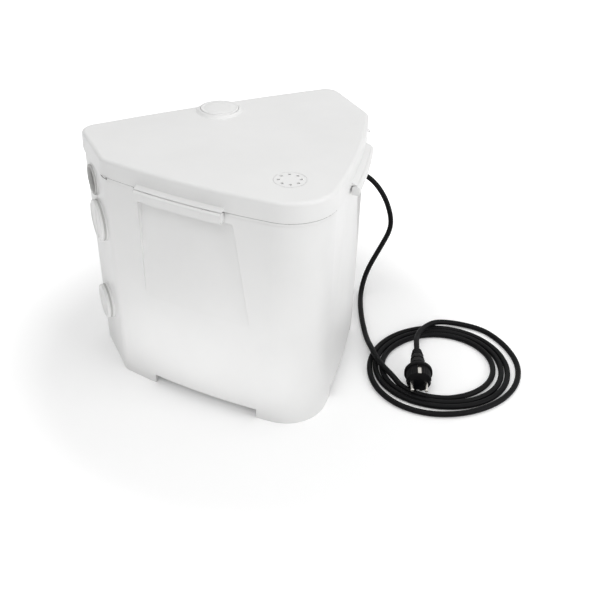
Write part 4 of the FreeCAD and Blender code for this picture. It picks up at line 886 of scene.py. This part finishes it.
# Sections as (out, up) in millimetres: face and top are shared, the back and underside change
clipBack = [(0.5, 0.0), (0.5, 3.0), (0.5, 6.0), (0.5, 8.2), (0.7, 10.2)]
clipFace = [(1.4, 11.1), (3.0, 11.9), (4.5, 12.2), (6.5, 12.1), (8.0, 11.5), (9.2, 10.7), (9.8, 9.9),
            (10.0, 8.9), (10.0, 1.2), (9.7, 0.4), (9.0, 0.0)]
clipSections = {
    "full": clipBack + clipFace + [(7.6, 0.0), (6.0, 0.0), (4.5, 0.0), (2.9, 0.0)],
    "hollow": clipBack + clipFace + [(7.6, 0.0), (7.6, 7.8), (2.9, 7.8), (2.9, 0.0)],
    "slot": [(0.5, 0.0), (0.5, 2.2), (3.6, 2.3), (6.0, 3.0), (7.2, 4.8), (7.4, 6.4), (6.6, 8.0), (5.8, 8.8),
             (5.6, 10.6), (5.7, 12.1)] + clipFace[3:] + [(7.6, 0.0), (6.0, 0.0)],
    "hook": [(0.5, 0.4), (2.9, 0.4), (2.9, -5.2), (2.5, -5.6), (-1.3, -5.6), (-1.7, -5.2), (-1.7, -3.9),
             (-1.4, -3.6), (0.5, -3.6)],
    "hood": [(-1.0, 12.1), (0.8, 12.1), (1.6, 12.5), (2.4, 12.85), (4.2, 13.0), (5.6, 12.9), (6.3, 12.75),
             (6.4, 13.2), (5.8, 13.8), (0.6, 16.1), (-0.2, 16.7), (-1.0, 16.9)],
}


# One skin through zones of (section, first, last), measured along the front from the clip's middle
def sweepFront(builder, zones, side, look):
    rings = []
    for section, first, last in zones:
        count = max(1, round((last - first) / look["step"]))
        for k in range(count + 1):
            along = look["middle"] + first + (last - first) * k / count
            rings.append([onFront(along, out * millimetre, look["bottom"] + up * millimetre, side)
                          for out, up in clipSections[section]])
    joinRings(builder, rings)


def makeClip(name, side, look):
    end, hollow, hook = look["half"], look["hollowHalf"], look["hookHalf"]
    near, far = look["slotAt"] - look["slotHalf"], look["slotAt"] + look["slotHalf"]
    builder = bmesh.new()
    sweepFront(builder, [("full", -end, -far), ("slot", -far, -near), ("full", -near, -hollow),
                         ("hollow", -hollow, hollow), ("full", hollow, near), ("slot", near, far),
                         ("full", far, end)], side, look)
    sweepFront(builder, [("hook", -hook, hook)], side, look)
    bmesh.ops.remove_doubles(builder, verts=builder.verts, dist=look["merge"])
    bmesh.ops.dissolve_degenerate(builder, edges=builder.edges, dist=look["merge"])
    clip = meshPiece(name, builder)
    softenEdges(clip, look["bevel"])
    return clip


# Sloped ledge of the lid over the clip
def makeHood(name, side, look):
    builder = bmesh.new()
    sweepFront(builder, [("hood", -look["half"], look["half"])], side, look)
    hood = meshPiece(name, builder)
    softenEdges(hood, look["hoodBevel"])
    return hood


for sideName, side in sides.items():
    clip = makeClip("clip_" + sideName, side, clipLook)
    finishPiece(clip, sideName + "_clip", "case_plastic", "lid_clip_" + sideName)
    finishPiece(makeHood("clipHood_" + sideName, side, clipLook), "lid_group", "case_plastic")
print("clips finished")


# Thin dark strip in the seam between the lid and the tank's collar, drawn as the gasket's edge: painted
# shade for the gap there

seamShadeLook = {"back": 0.125, "low": 0.3005, "high": 0.3009, "outer": -0.0003, "inner": -0.0009,
            "step": 0.004, "leastStep": 1e-5}


# The case's outline from wall to wall round the nose, moved outwards
def casePath(plan, out, look):
    middle = Vector((plan["halfWidth"] - plan["shoulderRadius"], plan["shoulderY"]))
    noseCentre = Vector((0, plan["noseY"] + plan["noseRadius"]))
    noseTurn = math.atan2(noseCentre.y - frontCentre.y, noseCentre.x - frontCentre.x)
    arcs = ((middle, plan["shoulderRadius"], 0.0, frontTurn),
            (frontCentre, frontReach, frontTurn, noseTurn),
            (noseCentre, plan["noseRadius"], noseTurn, -math.pi / 2))
    points = [Vector((plan["halfWidth"] + out, look["back"]))]
    for centre, radius, first, last in arcs:
        count = max(3, round(abs(last - first) * (radius + out) / look["step"]))
        for k in range(count + 1):
            angle = first + (last - first) * k / count
            spot = centre + Vector((math.cos(angle), math.sin(angle))) * (radius + out)
            if (spot - points[-1]).length > look["leastStep"]:
                points.append(spot)
    return points + [Vector((-spot.x, spot.y)) for spot in reversed(points[:-1])]


def makeSeamShade(plan, look):
    inner, outer = (casePath(plan, look[edge], look) for edge in ("inner", "outer"))
    low, high = look["low"], look["high"]
    builder = bmesh.new()
    joinRings(builder, [[Vector((*near, low)), Vector((*far, low)), Vector((*far, high)),
                         Vector((*near, high))] for near, far in zip(inner, outer)])
    return meshPiece("lidSeamShade", builder)


# Painted shade: the dark strip along the lid's seam
finishPiece(makeSeamShade(casePlan, seamShadeLook), "station", "seal_rubber")
print("seam finished")


# Cord gland: ridges round its flange and a domed nut about the strain relief

glandLook = {
    "x": 0.184, "y": 0.126, "z": 0.193, "radius": 0.013, "height": 0.003, "ridges": 28, "ridge": 0.0007,
    "ridgeWidth": 0.0013, "ridgeShare": 0.86, "domeBase": 0.187, "domeTop": 0.1925, "domeRadius": 0.0115,
    "domeSunk": 0.0003, "hole": 0.0078, "domeEdge": ((-0.0003, 0), (0.0016, 0), (0.0034, -0.0007)),
    "domeShoulder": ((-0.0006, -0.0021),), "holeEdge": ((0, 0.0006), (-0.0004, 0)), "facets": 72,
}


def makeGland(look):
    placeRings("glandRidges", "blocks", "station", "gland_plastic", [
        {"Count": look["ridges"], "Radius": look["radius"], "Tilt": (0.0, math.pi / 2, 0.0),
         "Centre": (look["x"] + look["height"] / 2, look["y"], look["z"]), "Depth": look["ridge"],
         "Width": look["ridgeWidth"], "Height": look["height"] * look["ridgeShare"]}])
    base, top, hole, radius = look["domeBase"], look["domeTop"], look["hole"], look["domeRadius"]
    profile = [(base - look["domeSunk"], hole)] + around(base, radius, look["domeEdge"])
    profile += around(top, radius, look["domeShoulder"]) + around(top, hole, look["holeEdge"])
    dome = turnedPiece("glandDome", profile, (0, look["y"], look["z"]), "x", look["facets"])
    finishPiece(dome, "station", "gland_plastic")


makeGland(glandLook)
print("gland finished")


# Inside the tank: fins on the motor, socket screws, perforated clamp bands and a seam on the float

insideLook = {
    "shaftY": 0.008, "motorRadius": 0.051, "fins": 32, "fin": 0.0022, "finSunk": 0.0004, "finWidth": 0.0016,
    "finMiddle": 0.1375, "finHeight": 0.106, "screwHead": 0.0038, "headHeight": 0.003, "socket": 0.0017,
    "screwRadius": 0.002, "earCircle": 0.055, "earTop": 0.0825, "pumpGrip": 0.026, "capCircle": 0.0435,
    "capTop": 0.1985, "capGrip": 0.016, "sleeveY": 0.1255, "bandRadius": 0.0205, "bands": (0.2465, 0.2845),
    "teeth": 36, "toothDepth": 0.0005, "toothWidth": 0.0011, "toothHeight": 0.00558,
    "float": (-0.092, 0.024, 0.0), "floatMiddle": 0.058, "floatRadius": 0.024,
    "seamSteps": ((-0.0012, -0.0003), (-0.0008, 0.0006), (0.0008, 0.0006), (0.0012, -0.0003)),
    "seamFacets": 72,
}


def makeInside(look):
    placeRings("motorFins", "blocks", "station", "pump_plastic", [
        {"Count": look["fins"], "Radius": look["motorRadius"] + look["fin"] / 2 - look["finSunk"],
         "First Turn": math.pi / look["fins"], "Centre": (0.0, look["shaftY"], look["finMiddle"]),
         "Depth": look["fin"], "Width": look["finWidth"], "Height": look["finHeight"]}])
    screw = {"Count": 4, "Head Radius": look["screwHead"], "Head Height": look["headHeight"],
             "Socket Radius": look["socket"], "Shank Radius": look["screwRadius"]}
    placeRings("pumpScrews", "screws", "station", "stainless_steel", [
        {**screw, "Radius": look["earCircle"], "First Turn": math.pi / 4, "Grip": look["pumpGrip"],
         "Centre": (0.0, look["shaftY"], look["earTop"])}], "pump_screws")
    placeRings("capScrews", "screws", "station", "stainless_steel", [
        {**screw, "Radius": look["capCircle"], "Grip": look["capGrip"],
         "Centre": (0.0, look["shaftY"], look["capTop"])}], "motor_screws")
    placeRings("bandTeeth", "blocks", "station", "stainless_steel", [
        {"Count": look["teeth"], "Radius": look["bandRadius"], "Centre": (0.0, look["sleeveY"], z),
         "Depth": look["toothDepth"], "Width": look["toothWidth"], "Height": look["toothHeight"]}
        for z in look["bands"]])
    seam = around(look["floatMiddle"], look["floatRadius"], look["seamSteps"])
    ring = turnedPiece("floatSeam", seam, look["float"], "z", look["seamFacets"])
    finishPiece(ring, "float", "float_plastic")


makeInside(insideLook)
print("inside finished")


# Floor with a painted glow, and soft light; a box is (name, power, place, size, target)

studioLook = {
    "floor": (0.93, 0.93, 0.93), "floorHalf": 6.0, "nearPaintedGlow": 0.13, "farPaintedGlow": 0.75, "paintedGlowFrom": 0.29,
    "paintedGlowTo": 0.58, "sky": 0.44,
    "boxes": (("overheadBox", 7.5, (0.25, 0.15, 1.7), (1.5, 1.3), (0.0, 0.0, 0.2)),
              ("rightBox", 12.0, (1.1, -1.5, 0.9), (1.2, 1.0), (0.0, -0.05, 0.1)),
              ("leftBox", 6.5, (-0.75, -0.9, 1.6), (0.9, 0.7), (-0.1, -0.05, 0.1))),
    "lowBox": ("lowBox", 0.27, (-0.227, -0.145, 0.002), (0.42, 0.22), (-0.227, -0.145, 1.0)),
    "lowTurn": (math.pi, 0.0, math.radians(-52.3)),
}


def makeFloor(look):
    builder = bmesh.new()
    bmesh.ops.create_grid(builder, x_segments=1, y_segments=1, size=look["floorHalf"])
    floor = meshPiece("floor", builder)
    material, tree, shader = newMaterial("studioFloor", {
        "Base Color": (*look["floor"], 1.0), "Roughness": 0.9, "Specular IOR Level": 0.0})
    # Painted light: the floor glows for camera and glossy rays, weakly next to the case and more strongly
    # further off
    path = addNode(tree, "ShaderNodeLightPath").outputs
    seen = combine(tree, "MAXIMUM", path["Is Camera Ray"], path["Is Glossy Ray"])
    away = addNode(tree, "ShaderNodeVectorMath", {0: ownSpot(tree)}, operation="LENGTH").outputs["Value"]
    lift = stretch(tree, away, look["paintedGlowFrom"], look["paintedGlowTo"], look["nearPaintedGlow"], look["farPaintedGlow"])
    strength = combine(tree, "MULTIPLY", seen, lift)
    glow = addNode(tree, "ShaderNodeEmission", {"Color": (1, 1, 1, 1), "Strength": strength})
    both = addNode(tree, "ShaderNodeAddShader", {0: shader.outputs["BSDF"], 1: glow.outputs["Emission"]})
    tree.links.new(both.outputs["Shader"], tree.nodes["Material Output"].inputs["Surface"])
    floor.data.materials.append(material)


def makeSky(look):
    world = bpy.data.worlds.new("studioSky")
    scene.world = world
    world.use_nodes = True
    tree = world.node_tree
    path = addNode(tree, "ShaderNodeLightPath").outputs
    bent = combine(tree, "MAXIMUM", path["Is Glossy Ray"], path["Is Transmission Ray"])
    seen = combine(tree, "MAXIMUM", path["Is Camera Ray"], bent)
    background = tree.nodes["Background"]
    background.inputs["Color"].default_value = (1, 1, 1, 1)
    tree.links.new(stretch(tree, seen, 0.0, 1.0, look["sky"], 1.0), background.inputs["Strength"])


def softBox(name, power, place, size, target):
    data = bpy.data.lights.new(name, "AREA")
    data.energy, data.shape = power, "RECTANGLE"
    data.size, data.size_y = size
    lamp = addObject(name, data)
    lamp.location = place
    lamp.rotation_euler = (Vector(target) - Vector(place)).to_track_quat("-Z", "Y").to_euler()
    return lamp


makeFloor(studioLook)
makeSky(studioLook)
for box in studioLook["boxes"]:
    softBox(*box)
lowBox = softBox(*studioLook["lowBox"])
lowBox.rotation_euler = studioLook["lowTurn"]
lowBox.visible_camera = False
print("studio lit")
